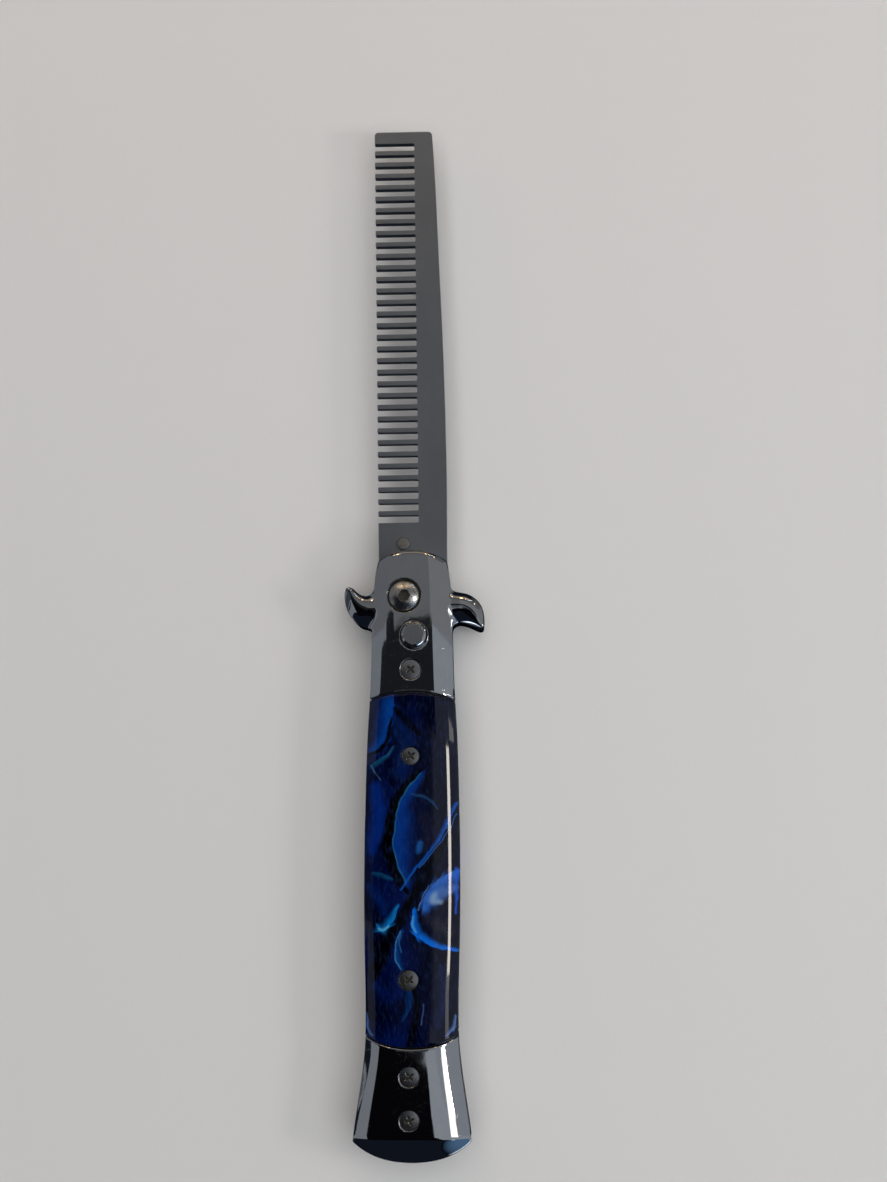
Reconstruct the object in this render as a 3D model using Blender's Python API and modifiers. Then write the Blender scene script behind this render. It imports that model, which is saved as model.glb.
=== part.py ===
"""Folding comb: a steel comb that turns about a pivot and folds into a bolstered handle.

The handle lies on its back on the plane z = 0 and points along Y, with the open comb towards +Y,
the teeth towards -X and the push button up. The origin is under the middle of the outer box.
"""

import math

import bmesh
import bpy
from mathutils import Matrix, Vector

MM = 0.001

# Whole object
OVERALL_LENGTH = 222.6
GUARD_SPAN = 30.04
THICKNESS = 15.0
END_Y = -OVERALL_LENGTH / 2

# Handle axis: the guards reach a little further to the right of it than to the left
GUARD_REACH_RIGHT = 15.4
AXIS_X = GUARD_SPAN / 2 - GUARD_REACH_RIGHT

# Pivot, measured from the handle axis and from the middle of the length
PIVOT_X = AXIS_X - 1.7
PIVOT_Y = 6.2

# Stack through the thickness
CASING = 4.6
FACE_GAP = 0.2
LINER = 1.2
LINER_TOP = THICKNESS - CASING - FACE_GAP
CHANNEL_TOP = LINER_TOP - LINER
MIDDLE_Z = THICKNESS / 2
BLADE = 1.8
PIN_LENGTH = 2.7

# Comb, in its own axes: pivot at the origin, tip along +y, teeth along -x
LEAN_DEG = 0.75
TIP_CORNER_X = 6.6
LEAN = math.radians(LEAN_DEG)
TIP_RADIUS = (OVERALL_LENGTH / 2 - PIVOT_Y - TIP_CORNER_X * math.sin(LEAN)) / math.cos(LEAN)
SLOTS = 33
PITCH = 2.625
SLOT = 1.6
END_BLOCK = 2.7
TOOTH_TIP_X = -5.65
TOOTH_ROOT_X = 3.15
CORNER = 0.5
SPINE = (
    # y, x of the spine from the tip to the tang
    (103.8, 7.2),
    (98.0, 7.55),
    (89.0, 7.88),
    (75.5, 8.28),
    (66.3, 8.6),
    (57.3, 8.9),
    (43.8, 9.2),
    (26.0, 9.36),
    (10.6, 9.2),
    (3.0, 9.1),
)
HEEL_RADIUS = 5.6
HEEL_SWEEP_DEG = 130
HEEL_STEPS = 10
PIN_X = -0.3
PIN_Y = 12.07
PIN_RADIUS = 1.3
PIN_FIT = 0.1

# Handle outline: half widths about the axis
HALF_WIDTHS = (
    # y, half width
    (18.0, 6.4),
    (14.0, 7.45),
    (11.0, 7.95),
    (6.0, 8.3),
    (-2.0, 8.55),
    (-10.0, 8.75),
    (-15.7, 9.0),
    (-24.0, 9.5),
    (-33.0, 9.75),
    (-45.0, 10.0),
    (-57.0, 10.05),
    (-67.0, 9.9),
    (-78.0, 9.6),
    (-85.5, 9.6),
    (-90.5, 9.95),
    (-96.0, 10.7),
    (-102.0, 11.65),
    (-107.0, 12.35),
    (-112.5, 13.1),
)

# Cross-section of the handle's faces: flat middle, then rolled down to a straight side
CROWN_DROP = 2.3
CROWN_FLAT = 0.42
CROWN_POWER = 2.2
CROWN_STEPS = 6

# Seams across the handle: height on the axis, radius, and +1 where they bulge towards the tip
SEAMS = {
    "bolster_end": (16.15, 13.4, 1),
    "bolster_scale": (-14.3, 27.8, 1),
    "scale_pommel": (-87.6, 21.9, -1),
    "pommel_end": (END_Y, 19.4, -1),
}
SEAM_GAP = 0.3
SEAM_REACH = 13.0
SEAM_OVERRUN = 3.0

# Flat plates inside the handle: where their straight seams meet their sides
PLATE_TOP_Y = 13.0
PLATE_END_Y = -106.0
PLATE_TOP_REACH = 7.0
PLATE_END_REACH = 11.8
LINER_INSET = 0.2
LINER_END_SHIFT = 0.4

# Rounded end of the pommel, in side view
NOSE_LENGTH = 5.4
NOSE_RIM = 0.5
NOSE_START_SLOPE = 0.45
NOSE_STEPS = 5

# Guards: matching points of the upper and the lower edge from the handle out to the tip,
# from the handle axis and from the height of the pivot, with the height of the guard's back
GUARD_LEFT = (
    # upper x, upper y, lower x, lower y, rise above the liner side
    (-6.6, 2.4, -6.6, -8.4, 2.9),
    (-8.3, 1.3, -8.75, -6.9, 2.9),
    (-9.3, 0.45, -9.9, -6.45, 2.9),
    (-10.6, 0.4, -11.3, -6.0, 2.85),
    (-11.7, 0.95, -12.7, -4.75, 2.75),
    (-12.4, 1.6, -13.9, -3.0, 2.65),
    (-13.0, 2.1, -14.5, -1.0, 2.5),
    (-13.6, 2.25, -14.64, 0.6, 2.3),
    (-14.1, 2.1, -14.5, 1.5, 2.1),
)
GUARD_RIGHT = (
    # upper x, upper y, lower x, lower y, rise above the liner side
    (6.6, 3.0, 6.6, -7.9, 2.9),
    (8.4, 1.5, 8.6, -6.1, 2.9),
    (10.0, 1.1, 10.0, -5.45, 2.9),
    (11.6, 0.8, 11.3, -5.65, 2.85),
    (13.0, 0.1, 12.4, -6.05, 2.8),
    (14.2, -1.0, 13.4, -6.5, 2.7),
    (15.0, -2.4, 14.2, -6.85, 2.5),
    (15.36, -4.2, 14.85, -6.95, 2.3),
    (15.4, -5.9, 15.25, -6.7, 2.1),
)
GUARD_SUBDIVISIONS = 2
GUARD_PROFILE = (
    # share of the way across, share of the rise
    (0.0, 0.0),
    (0.0, 0.45),
    (0.12, 0.85),
    (0.32, 1.0),
    (0.68, 1.0),
    (0.88, 0.85),
    (1.0, 0.45),
    (1.0, 0.0),
)

# Pivot screw and its nut
PIVOT_SEAT_RADIUS = 3.6
PIVOT_SEAT_DEPTH = 1.2
PIVOT_HEAD_RADIUS = 3.25
PIVOT_DOME = 1.2
PIVOT_DOME_STEPS = 5
PIVOT_RIM_DEPTH = 0.3
PIVOT_SOCKET_DEPTH = 1.5
PIVOT_SHANK_RADIUS = 2.0
PIVOT_SOCKET_RADIUS = 1.33
FIT = 0.3

# Push button
BUTTON_X = AXIS_X + 0.4
BUTTON_Y = -2.2
BUTTON_RADIUS = 2.6
BUTTON_PROUD = 2.0
BUTTON_CHAMFER = 0.35
BUTTON_FLANGE_RADIUS = 3.5
BUTTON_FLANGE = 0.8
BUTTON_POCKET = 2.5

# Cross-head screws: place, radius of the seat and of the head, depth of the head below the face
SCREWS = (
    # name, x from the axis, y, seat radius, head radius, sunk, turn of the cross in degrees
    ("bolster_screw", -0.3, -9.45, 2.2, 1.85, 0.15, 45.0),
    ("scale_screw_1", -0.25, -27.6, 1.95, 1.6, 0.7, 38.0),
    ("scale_screw_2", -0.55, -73.8, 2.1, 1.75, 0.5, 50.0),
    ("pommel_screw_1", -0.4, -93.3, 2.1, 1.8, 0.15, 40.0),
    ("pommel_screw_2", -0.4, -102.0, 2.1, 1.8, 0.15, 20.0),
)
SCREW_HEAD = 0.9
SCREW_EDGE = 0.2
SCREW_SHANK_RADIUS = 0.85
CROSS_LENGTH = 2.0
CROSS_WIDTH = 0.5
CROSS_DEPTH = 0.5

# Spacers between the liners
SPACER_EDGE = 0.5
SPACER_WIDTH = 1.7
SPACER_START_Y = -3.0
SPACER_END_Y = -99.7
SPACER_END_SHIFT = 0.6

ROUND_SIDES = 20
SCREW_SIDES = 12
OVERCUT = 1.0


def clear_scene():
    for thing in list(bpy.data.objects):
        bpy.data.objects.remove(thing, do_unlink=True)


def new_collection(name):
    collection = bpy.data.collections.new(name)
    bpy.context.scene.collection.children.link(collection)
    return collection


def new_material(name, colour, roughness, metallic):
    material = bpy.data.materials.new(name)
    material.use_nodes = True
    shader = material.node_tree.nodes["Principled BSDF"]
    shader.inputs["Base Color"].default_value = (*colour, 1.0)
    shader.inputs["Roughness"].default_value = roughness
    shader.inputs["Metallic"].default_value = metallic
    return material


clear_scene()
PARTS = new_collection("folding_comb")
CUTTERS = new_collection("cutters")
STEEL = new_material("satin_steel", (0.22, 0.22, 0.23), 0.45, 1.0)
CHROME = new_material("chrome", (0.78, 0.79, 0.80), 0.08, 1.0)
LINER_STEEL = new_material("liner_steel", (0.45, 0.44, 0.42), 0.35, 1.0)
ACRYLIC = new_material("blue_marbled_acrylic", (0.01, 0.03, 0.16), 0.08, 0.0)
SCREW_STEEL = new_material("screw_steel", (0.30, 0.30, 0.30), 0.3, 1.0)


def object_from_bmesh(name, work, material, collection=PARTS):
    bmesh.ops.remove_doubles(work, verts=work.verts, dist=1e-6)
    bmesh.ops.recalc_face_normals(work, faces=work.faces)
    mesh = bpy.data.meshes.new(name)
    work.to_mesh(mesh)
    work.free()
    thing = bpy.data.objects.new(name, mesh)
    if material:
        mesh.materials.append(material)
    collection.objects.link(thing)
    return thing


def shade(thing, angle=35.0):
    """Round surfaces smooth, edges sharp."""
    thing.data.shade_smooth()
    thing.data.set_sharp_from_angle(angle=math.radians(angle))


def circle(x, y, radius, sides=ROUND_SIDES):
    turn = 2 * math.pi / sides
    return [(x + radius * math.cos(turn * i), y + radius * math.sin(turn * i)) for i in range(sides)]


def plate(name, loops, low, high, material, collection=PARTS):
    """A flat plate from closed outlines in millimetres; loops after the first are holes."""
    curve = bpy.data.curves.new(name, "CURVE")
    curve.dimensions = "2D"
    curve.fill_mode = "BOTH"
    curve.extrude = (high - low) / 2 * MM
    for loop in loops:
        spline = curve.splines.new("POLY")
        spline.points.add(len(loop) - 1)
        spline.use_cyclic_u = True
        for point, (x, y) in zip(spline.points, loop):
            point.co = (x * MM, y * MM, 0.0, 1.0)
    flat = bpy.data.objects.new(name + "_curve", curve)
    flat.location.z = (low + high) / 2 * MM
    collection.objects.link(flat)
    bpy.context.view_layer.update()
    evaluated = flat.evaluated_get(bpy.context.evaluated_depsgraph_get())
    solid = bmesh.new()
    mesh = bpy.data.meshes.new_from_object(evaluated)
    solid.from_mesh(mesh)
    bmesh.ops.transform(solid, matrix=flat.matrix_world, verts=solid.verts)
    bpy.data.objects.remove(flat, do_unlink=True)
    bpy.data.meshes.remove(mesh)
    return object_from_bmesh(name, solid, material, collection)


def loft(name, sections, material, collection=PARTS):
    """A solid skinned over closed sections of equally many points, capped at both ends."""
    work = bmesh.new()
    rings = [[work.verts.new(Vector(point) * MM) for point in section] for section in sections]
    count = len(rings[0])
    for ring, following in zip(rings, rings[1:]):
        for i in range(count):
            j = (i + 1) % count
            work.faces.new((ring[i], ring[j], following[j], following[i]))
    work.faces.new(list(reversed(rings[0])))
    work.faces.new(rings[-1])
    return object_from_bmesh(name, work, material, collection)


def cylinder(name, x, y, low, high, radius, material=None, collection=None, sides=ROUND_SIDES):
    work = bmesh.new()
    bmesh.ops.create_cone(
        work,
        cap_ends=True,
        segments=sides,
        radius1=radius * MM,
        radius2=radius * MM,
        depth=(high - low) * MM,
        matrix=Matrix.Translation(Vector((x, y, (low + high) / 2)) * MM),
    )
    return object_from_bmesh(name, work, material, collection or CUTTERS)


def turned(name, profile, sides, material, collection=PARTS):
    """A turned piece about z from a profile of (radius, height), open at the axis, top to bottom."""
    work = bmesh.new()
    points = [work.verts.new((radius * MM, 0.0, height * MM)) for radius, height in profile]
    for start, end in zip(points, points[1:]):
        work.edges.new((start, end))
    mesh = bpy.data.meshes.new(name)
    work.to_mesh(mesh)
    work.free()
    thing = bpy.data.objects.new(name, mesh)
    mesh.materials.append(material)
    collection.objects.link(thing)
    screw = thing.modifiers.new("turn", "SCREW")
    screw.steps = sides
    screw.render_steps = sides
    screw.use_merge_vertices = True
    screw.merge_threshold = 0.00001
    return thing


def boolean(thing, operation, cutter):
    modifier = thing.modifiers.new(operation.lower() + "_" + cutter.name, "BOOLEAN")
    modifier.operation = operation
    modifier.object = cutter
    cutter.hide_render = True
    cutter.display_type = "WIRE"
    return thing


def interpolate(table, at):
    """Smooth value at a place in a table of (place, value) rows with falling places."""
    rows = sorted(table)
    places = [row[0] for row in rows]
    at = min(max(at, places[0]), places[-1])
    i = max(k for k in range(len(rows) - 1) if places[k] <= at)

    def slope(k):
        if k in (0, len(rows) - 1):
            k = min(max(k, 1), len(rows) - 2)
        return (rows[k + 1][1] - rows[k - 1][1]) / (rows[k + 1][0] - rows[k - 1][0])

    span = places[i + 1] - places[i]
    t = (at - places[i]) / span
    return (
        rows[i][1] * (1 + 2 * t) * (1 - t) ** 2
        + rows[i + 1][1] * t * t * (3 - 2 * t)
        + slope(i) * span * t * (1 - t) ** 2
        - slope(i + 1) * span * t * t * (1 - t)
    )


def half_width(y):
    return interpolate(HALF_WIDTHS, y)


def seam_y(seam, x, shift=0.0):
    """Height of a seam at a distance x from the axis, moved by shift towards the tip."""
    middle, radius, sense = SEAMS[seam]
    return middle + shift - sense * (radius - math.sqrt(radius * radius - x * x))


def seam_points(seam, reach, shift=0.0, steps=12):
    return [
        (AXIS_X + x, seam_y(seam, x, shift))
        for x in (-reach + 2 * reach * i / steps for i in range(steps + 1))
    ]


def crown_height(share):
    """Height of the face at a share of the half width, 0 on the axis and 1 at the side."""
    rolled = max(0.0, (abs(share) - CROWN_FLAT) / (1 - CROWN_FLAT))
    return THICKNESS - CROWN_DROP * rolled**CROWN_POWER


def face_section(y):
    """Closed section of a front casing at y, from its liner side round its crowned face."""
    width = half_width(y)
    low = THICKNESS - CASING
    shares = [CROWN_FLAT + (1 - CROWN_FLAT) * i / CROWN_STEPS for i in range(CROWN_STEPS + 1)]
    across = [-share for share in reversed(shares)] + shares
    section = [(AXIS_X + width, y, low), (AXIS_X - width, y, low)]
    section += [(AXIS_X + width * share, y, crown_height(share)) for share in across]
    return section


def spaced(start, end, count):
    return [start + (end - start) * i / (count - 1) for i in range(count)]


def seam_cutter(name, upper, upper_shift, lower, lower_shift):
    """A tall plate between two seams, wider than the handle."""
    outline = seam_points(upper, SEAM_REACH, upper_shift, 20)
    outline += list(reversed(seam_points(lower, SEAM_REACH, lower_shift, 20)))
    return plate(name, [outline], THICKNESS - CASING - OVERCUT, THICKNESS + OVERCUT, None, CUTTERS)


def casing_blank(name, upper, upper_shift, lower, lower_shift, stations):
    """A crowned bar of the handle's outline, cut off at two seams."""
    start = SEAMS[upper][0] + SEAM_OVERRUN
    end = SEAMS[lower][0] - SEAM_OVERRUN
    body = loft(name, [face_section(y) for y in spaced(start, end, stations)], None, CUTTERS)
    boolean(body, "INTERSECT", seam_cutter(name + "_seams", upper, upper_shift, lower, lower_shift))
    body.hide_render = True
    return body


def catmull(before, start, end, after, t):
    """Point at t between start and end on a curve through four points."""
    return tuple(
        0.5
        * (
            2 * b
            + (c - a) * t
            + (2 * a - 5 * b + 4 * c - d) * t * t
            + (3 * b - a - 3 * c + d) * t**3
        )
        for a, b, c, d in zip(before, start, end, after)
    )


def smooth_rows(rows, subdivisions):
    """The rows of a table with smooth rows put between them."""
    result = []
    for i in range(len(rows) - 1):
        before = rows[max(i - 1, 0)]
        after = rows[min(i + 2, len(rows) - 1)]
        for step in range(subdivisions):
            result.append(catmull(before, rows[i], rows[i + 1], after, step / subdivisions))
    result.append(rows[-1])
    return result


def guard(name, rows, collection):
    """One curled guard of the front bolster as a loft with a rounded back."""
    low = THICKNESS - CASING
    sections = []
    for upper_x, upper_y, lower_x, lower_y, rise in smooth_rows(rows, GUARD_SUBDIVISIONS):
        sections.append(
            [
                (
                    AXIS_X + upper_x + (lower_x - upper_x) * across,
                    PIVOT_Y + upper_y + (lower_y - upper_y) * across,
                    low + rise * up,
                )
                for across, up in GUARD_PROFILE
            ]
        )
    return loft(name, sections, None, collection)


def finished(thing, front):
    """The evaluated piece as one mesh, turned over about the middle plane for the back."""
    bpy.context.view_layer.update()
    evaluated = thing.evaluated_get(bpy.context.evaluated_depsgraph_get())
    mesh = bpy.data.meshes.new_from_object(evaluated)
    if not front:
        flip = Matrix.Translation((0, 0, THICKNESS * MM)) @ Matrix.Scale(-1, 4, (0, 0, 1))
        mesh.transform(flip)
        mesh.flip_normals()
    return mesh


def through(front, low, high):
    """A height range of a front piece, or its mirror at the back."""
    return (low, high) if front else (THICKNESS - high, THICKNESS - low)


def screw_of(name):
    return next(screw for screw in SCREWS if screw[0] == name)


def screw_holes(thing, name, front):
    """Seat and shank bore of a cross-head screw, cut into a casing."""
    _, x, y, seat_radius, _, sunk, _ = screw_of(name)
    label = thing.name + "_" + name
    floor = THICKNESS - sunk - SCREW_HEAD - FACE_GAP
    seat_heights = through(front, floor, THICKNESS + OVERCUT)
    bore_heights = through(front, LINER_TOP, floor + OVERCUT / 2)
    bore_radius = SCREW_SHANK_RADIUS + FIT
    seat = cylinder(label + "_seat", AXIS_X + x, y, *seat_heights, seat_radius)
    bore = cylinder(label + "_bore", AXIS_X + x, y, *bore_heights, bore_radius, sides=SCREW_SIDES)
    boolean(thing, "DIFFERENCE", seat)
    boolean(thing, "DIFFERENCE", bore)


def casing(name, mesh, holes, front, material):
    thing = bpy.data.objects.new(name, mesh)
    mesh.materials.clear()
    mesh.materials.append(material)
    PARTS.objects.link(thing)
    for hole in holes:
        screw_holes(thing, hole, front)
    shade(thing, 40.0)
    return thing


def bolster_blank():
    body = casing_blank("bolster_blank", "bolster_end", 0.0, "bolster_scale", SEAM_GAP / 2, 12)
    boolean(body, "UNION", guard("guard_left_blank", GUARD_LEFT, CUTTERS))
    boolean(body, "UNION", guard("guard_right_blank", GUARD_RIGHT, CUTTERS))
    return body


def scale_blank():
    return casing_blank("scale_blank", "bolster_scale", -SEAM_GAP / 2, "scale_pommel", SEAM_GAP / 2, 18)


def pommel_blank():
    body = casing_blank("pommel_blank", "scale_pommel", -SEAM_GAP / 2, "pommel_end", 0.0, 12)
    return boolean(body, "DIFFERENCE", nose_cutter())


def nose_cutter():
    """Everything past the rounded end of the pommel, as a bar across the handle."""
    start = END_Y + NOSE_LENGTH
    beyond = END_Y - SEAM_OVERRUN
    above = THICKNESS + OVERCUT
    outside = []
    for i in range(NOSE_STEPS + 1):
        t = i / NOSE_STEPS
        fall = NOSE_START_SLOPE * t + (1 - NOSE_START_SLOPE) * t * t
        outside.append((start - NOSE_LENGTH * t, THICKNESS - (CASING - NOSE_RIM) * fall))
    outside += [(beyond, outside[-1][1]), (beyond, above), (start, above)]
    sections = [[(AXIS_X + side * (SEAM_REACH + OVERCUT), y, z) for y, z in outside] for side in (-1, 1)]
    return loft("nose_cut", sections, None, CUTTERS)


def make_bolsters():
    blank = bolster_blank()
    seat_floor = THICKNESS - PIVOT_SEAT_DEPTH
    for front in (True, False):
        name = "bolster_front" if front else "bolster_back"
        thing = casing(name, finished(blank, front), ["bolster_screw"], front, CHROME)
        seat_heights = through(front, seat_floor, THICKNESS + OVERCUT)
        bore_heights = through(front, LINER_TOP, seat_floor + OVERCUT / 2)
        seat = cylinder(name + "_pivot_seat", PIVOT_X, PIVOT_Y, *seat_heights, PIVOT_SEAT_RADIUS)
        bore = cylinder(name + "_pivot_bore", PIVOT_X, PIVOT_Y, *bore_heights, PIVOT_SHANK_RADIUS + FIT)
        boolean(thing, "DIFFERENCE", seat)
        boolean(thing, "DIFFERENCE", bore)
        if front:
            cut_button_hole(thing)


def cut_button_hole(thing):
    """Hole for the push button and the wider pocket for its flange on the liner side."""
    pocket_roof = THICKNESS - CASING + BUTTON_POCKET
    hole = cylinder(
        "button_hole", BUTTON_X, BUTTON_Y, pocket_roof - OVERCUT, THICKNESS + OVERCUT, BUTTON_RADIUS + FIT
    )
    pocket = cylinder(
        "button_pocket", BUTTON_X, BUTTON_Y, LINER_TOP, pocket_roof, BUTTON_FLANGE_RADIUS + FIT
    )
    boolean(thing, "DIFFERENCE", hole)
    boolean(thing, "DIFFERENCE", pocket)


def make_scales():
    blank = scale_blank()
    for front in (True, False):
        name = "scale_front" if front else "scale_back"
        casing(name, finished(blank, front), ["scale_screw_1", "scale_screw_2"], front, ACRYLIC)


def make_pommels():
    blank = pommel_blank()
    for front in (True, False):
        name = "pommel_front" if front else "pommel_back"
        casing(name, finished(blank, front), ["pommel_screw_1", "pommel_screw_2"], front, CHROME)


def side_points(start, end, count, side, inset):
    return [(AXIS_X + side * (half_width(y) - inset), y) for y in spaced(start, end, count)]


def liner_outline():
    """Outline of the handle between its two end seams, a little inside the casings."""
    sides = [side_points(PLATE_TOP_Y, PLATE_END_Y, 22, side, LINER_INSET) for side in (1, -1)]
    outline = seam_points("bolster_end", PLATE_TOP_REACH, -LINER_INSET, 8)
    outline += sides[0]
    outline += list(reversed(seam_points("pommel_end", PLATE_END_REACH, LINER_END_SHIFT)))
    outline += list(reversed(sides[1]))
    return outline


def make_liners():
    outline = liner_outline()
    bore_radius = SCREW_SHANK_RADIUS + FIT
    holes = [circle(PIVOT_X, PIVOT_Y, PIVOT_SHANK_RADIUS + FIT)]
    holes += [circle(AXIS_X + row[1], row[2], bore_radius, SCREW_SIDES) for row in SCREWS]
    for front in (True, False):
        name = "liner_front" if front else "liner_back"
        plate(name, [outline] + holes, *through(front, CHANNEL_TOP, LINER_TOP), LINER_STEEL)


def make_spacers():
    low = THICKNESS - CHANNEL_TOP + FACE_GAP
    high = CHANNEL_TOP - FACE_GAP
    outer = side_points(SPACER_START_Y, SPACER_END_Y, 20, 1, SPACER_EDGE)
    inner = side_points(SPACER_START_Y, SPACER_END_Y, 20, 1, SPACER_EDGE + SPACER_WIDTH)
    plate("back_spacer", [outer + list(reversed(inner))], low, high, LINER_STEEL)
    block_start = SPACER_END_Y - SEAM_GAP
    end_reach = PLATE_END_REACH - SPACER_EDGE
    block = side_points(block_start, PLATE_END_Y, 6, 1, SPACER_EDGE)
    block += list(reversed(seam_points("pommel_end", end_reach, SPACER_END_SHIFT)))
    block += list(reversed(side_points(block_start, PLATE_END_Y, 6, -1, SPACER_EDGE)))
    plate("end_spacer", [block], low, high, LINER_STEEL)


def comb_outline():
    """Outline of the comb in its own axes: end block, teeth, tang and spine."""
    tip = TIP_RADIUS
    outline = [(TOOTH_TIP_X + CORNER, tip), (TOOTH_TIP_X, tip - CORNER)]
    for i in range(SLOTS):
        upper = tip - END_BLOCK - PITCH * i
        lower = upper - SLOT
        outline += [
            (TOOTH_TIP_X, upper),
            (TOOTH_ROOT_X, upper),
            (TOOTH_ROOT_X, lower),
            (TOOTH_TIP_X, lower),
        ]
    for i in range(HEEL_STEPS + 1):
        angle = math.pi + math.radians(HEEL_SWEEP_DEG) * i / HEEL_STEPS
        outline.append((HEEL_RADIUS * math.cos(angle), HEEL_RADIUS * math.sin(angle)))
    outline += [(x, y) for y, x in reversed(SPINE)]
    outline += [(TIP_CORNER_X + CORNER, tip - CORNER), (TIP_CORNER_X, tip)]
    return outline


def make_comb():
    """The comb and its pin, parented to an empty on the pivot's axis."""
    pivot = bpy.data.objects.new("comb_pivot", None)
    PARTS.objects.link(pivot)
    pivot.location = Vector((PIVOT_X, PIVOT_Y, MIDDLE_Z)) * MM
    pivot.rotation_euler.z = LEAN
    holes = [
        circle(0.0, 0.0, PIVOT_SHANK_RADIUS + FIT),
        circle(PIN_X, PIN_Y, PIN_RADIUS + PIN_FIT),
    ]
    blade = plate("comb_blade", [comb_outline()] + holes, -BLADE / 2, BLADE / 2, STEEL)
    blade.parent = pivot
    pin = cylinder("tang_pin", 0, 0, -PIN_LENGTH / 2, PIN_LENGTH / 2, PIN_RADIUS, SCREW_STEEL, PARTS)
    pin.location = Vector((PIN_X, PIN_Y, 0)) * MM
    pin.parent = pivot


def make_pivot():
    floor = THICKNESS - PIVOT_SEAT_DEPTH + FACE_GAP
    rim = THICKNESS - PIVOT_RIM_DEPTH
    shank_end = PIVOT_SEAT_DEPTH + FACE_GAP
    dome = [
        (PIVOT_HEAD_RADIUS * math.sin(angle), rim + PIVOT_DOME * math.cos(angle))
        for angle in (math.pi / 2 * i / PIVOT_DOME_STEPS for i in range(PIVOT_DOME_STEPS + 1))
    ]
    profile = dome + [
        (PIVOT_HEAD_RADIUS, floor),
        (PIVOT_SHANK_RADIUS, floor),
        (PIVOT_SHANK_RADIUS, shank_end),
        (0.0, shank_end),
    ]
    screw = turned("pivot_screw", profile, ROUND_SIDES, SCREW_STEEL)
    screw.location = Vector((PIVOT_X, PIVOT_Y, 0)) * MM
    top = rim + PIVOT_DOME
    socket_low = top - PIVOT_SOCKET_DEPTH
    socket = cylinder(
        "pivot_socket", PIVOT_X, PIVOT_Y, socket_low, top + OVERCUT, PIVOT_SOCKET_RADIUS, sides=6
    )
    boolean(screw, "DIFFERENCE", socket)
    nut_low = FACE_GAP
    nut_high = PIVOT_SEAT_DEPTH - FACE_GAP
    nut = cylinder("pivot_nut", PIVOT_X, PIVOT_Y, nut_low, nut_high, PIVOT_HEAD_RADIUS, SCREW_STEEL, PARTS)
    shade(nut)


def make_button():
    top = THICKNESS + BUTTON_PROUD
    flange_high = THICKNESS - CASING + BUTTON_POCKET - FIT
    profile = (
        (0.0, top),
        (BUTTON_RADIUS - BUTTON_CHAMFER, top),
        (BUTTON_RADIUS, top - BUTTON_CHAMFER),
        (BUTTON_RADIUS, flange_high),
        (BUTTON_FLANGE_RADIUS, flange_high),
        (BUTTON_FLANGE_RADIUS, flange_high - BUTTON_FLANGE),
        (0.0, flange_high - BUTTON_FLANGE),
    )
    button = turned("lock_button", profile, ROUND_SIDES, CHROME)
    button.location = Vector((BUTTON_X, BUTTON_Y, 0)) * MM


def cross_cutter(name, x, y, turn, low, high):
    half = CROSS_LENGTH / 2
    thin = CROSS_WIDTH / 2
    outline = []
    for quarter in range(4):
        angle = math.radians(turn + 90 * quarter)
        for forward, aside in ((half, -thin), (half, thin), (thin, thin)):
            outline.append(
                (
                    x + forward * math.cos(angle) - aside * math.sin(angle),
                    y + forward * math.sin(angle) + aside * math.cos(angle),
                )
            )
    return plate(name, [outline], low, high, None, CUTTERS)


def make_screw(row, front):
    name, x, y, _, head_radius, sunk, turn = row
    side = "front" if front else "back"
    head_top = THICKNESS - sunk
    head_low = head_top - SCREW_HEAD
    profile = [
        (0.0, head_top),
        (head_radius - SCREW_EDGE, head_top),
        (head_radius, head_top - SCREW_EDGE),
        (head_radius, head_low),
        (SCREW_SHANK_RADIUS, head_low),
        (SCREW_SHANK_RADIUS, CHANNEL_TOP + FACE_GAP),
        (0.0, CHANNEL_TOP + FACE_GAP),
    ]
    if not front:
        profile = [(radius, THICKNESS - height) for radius, height in reversed(profile)]
    screw = turned(name + "_" + side, profile, SCREW_SIDES, SCREW_STEEL)
    screw.location = Vector((AXIS_X + x, y, 0)) * MM
    depths = through(front, head_top - CROSS_DEPTH, THICKNESS + OVERCUT)
    cross = cross_cutter(name + "_" + side + "_cross", AXIS_X + x, y, turn, *depths)
    boolean(screw, "DIFFERENCE", cross)


def build():
    make_bolsters()
    make_scales()
    make_pommels()
    make_liners()
    make_spacers()
    make_comb()
    make_pivot()
    make_button()
    for row in SCREWS:
        for front in (True, False):
            make_screw(row, front)


build()
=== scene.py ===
import math

import bmesh
import bpy
import numpy as np
from mathutils import Euler, Matrix, Vector
from mathutils.geometry import delaunay_2d_cdt


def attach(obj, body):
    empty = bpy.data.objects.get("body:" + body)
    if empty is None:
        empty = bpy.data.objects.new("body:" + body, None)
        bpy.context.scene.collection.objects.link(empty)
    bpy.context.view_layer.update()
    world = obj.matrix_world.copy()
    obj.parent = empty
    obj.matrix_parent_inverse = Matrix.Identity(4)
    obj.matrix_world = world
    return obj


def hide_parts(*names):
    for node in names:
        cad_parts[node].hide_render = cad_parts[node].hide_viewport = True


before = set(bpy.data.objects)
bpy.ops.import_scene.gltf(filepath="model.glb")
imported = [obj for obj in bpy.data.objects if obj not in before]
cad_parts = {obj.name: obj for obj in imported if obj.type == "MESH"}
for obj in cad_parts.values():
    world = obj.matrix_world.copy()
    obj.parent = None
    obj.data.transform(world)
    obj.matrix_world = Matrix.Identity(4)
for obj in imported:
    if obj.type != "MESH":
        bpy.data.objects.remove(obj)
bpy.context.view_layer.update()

# Lengths are in millimetres until a mesh is made
MM = 0.001

# Whole comb
OVERALL_LENGTH = 222.6
THICKNESS = 15.0
END_Y = -OVERALL_LENGTH / 2
AXIS_X = -0.38
PIVOT_X = AXIS_X - 1.7
PIVOT_Y = 6.2

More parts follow.
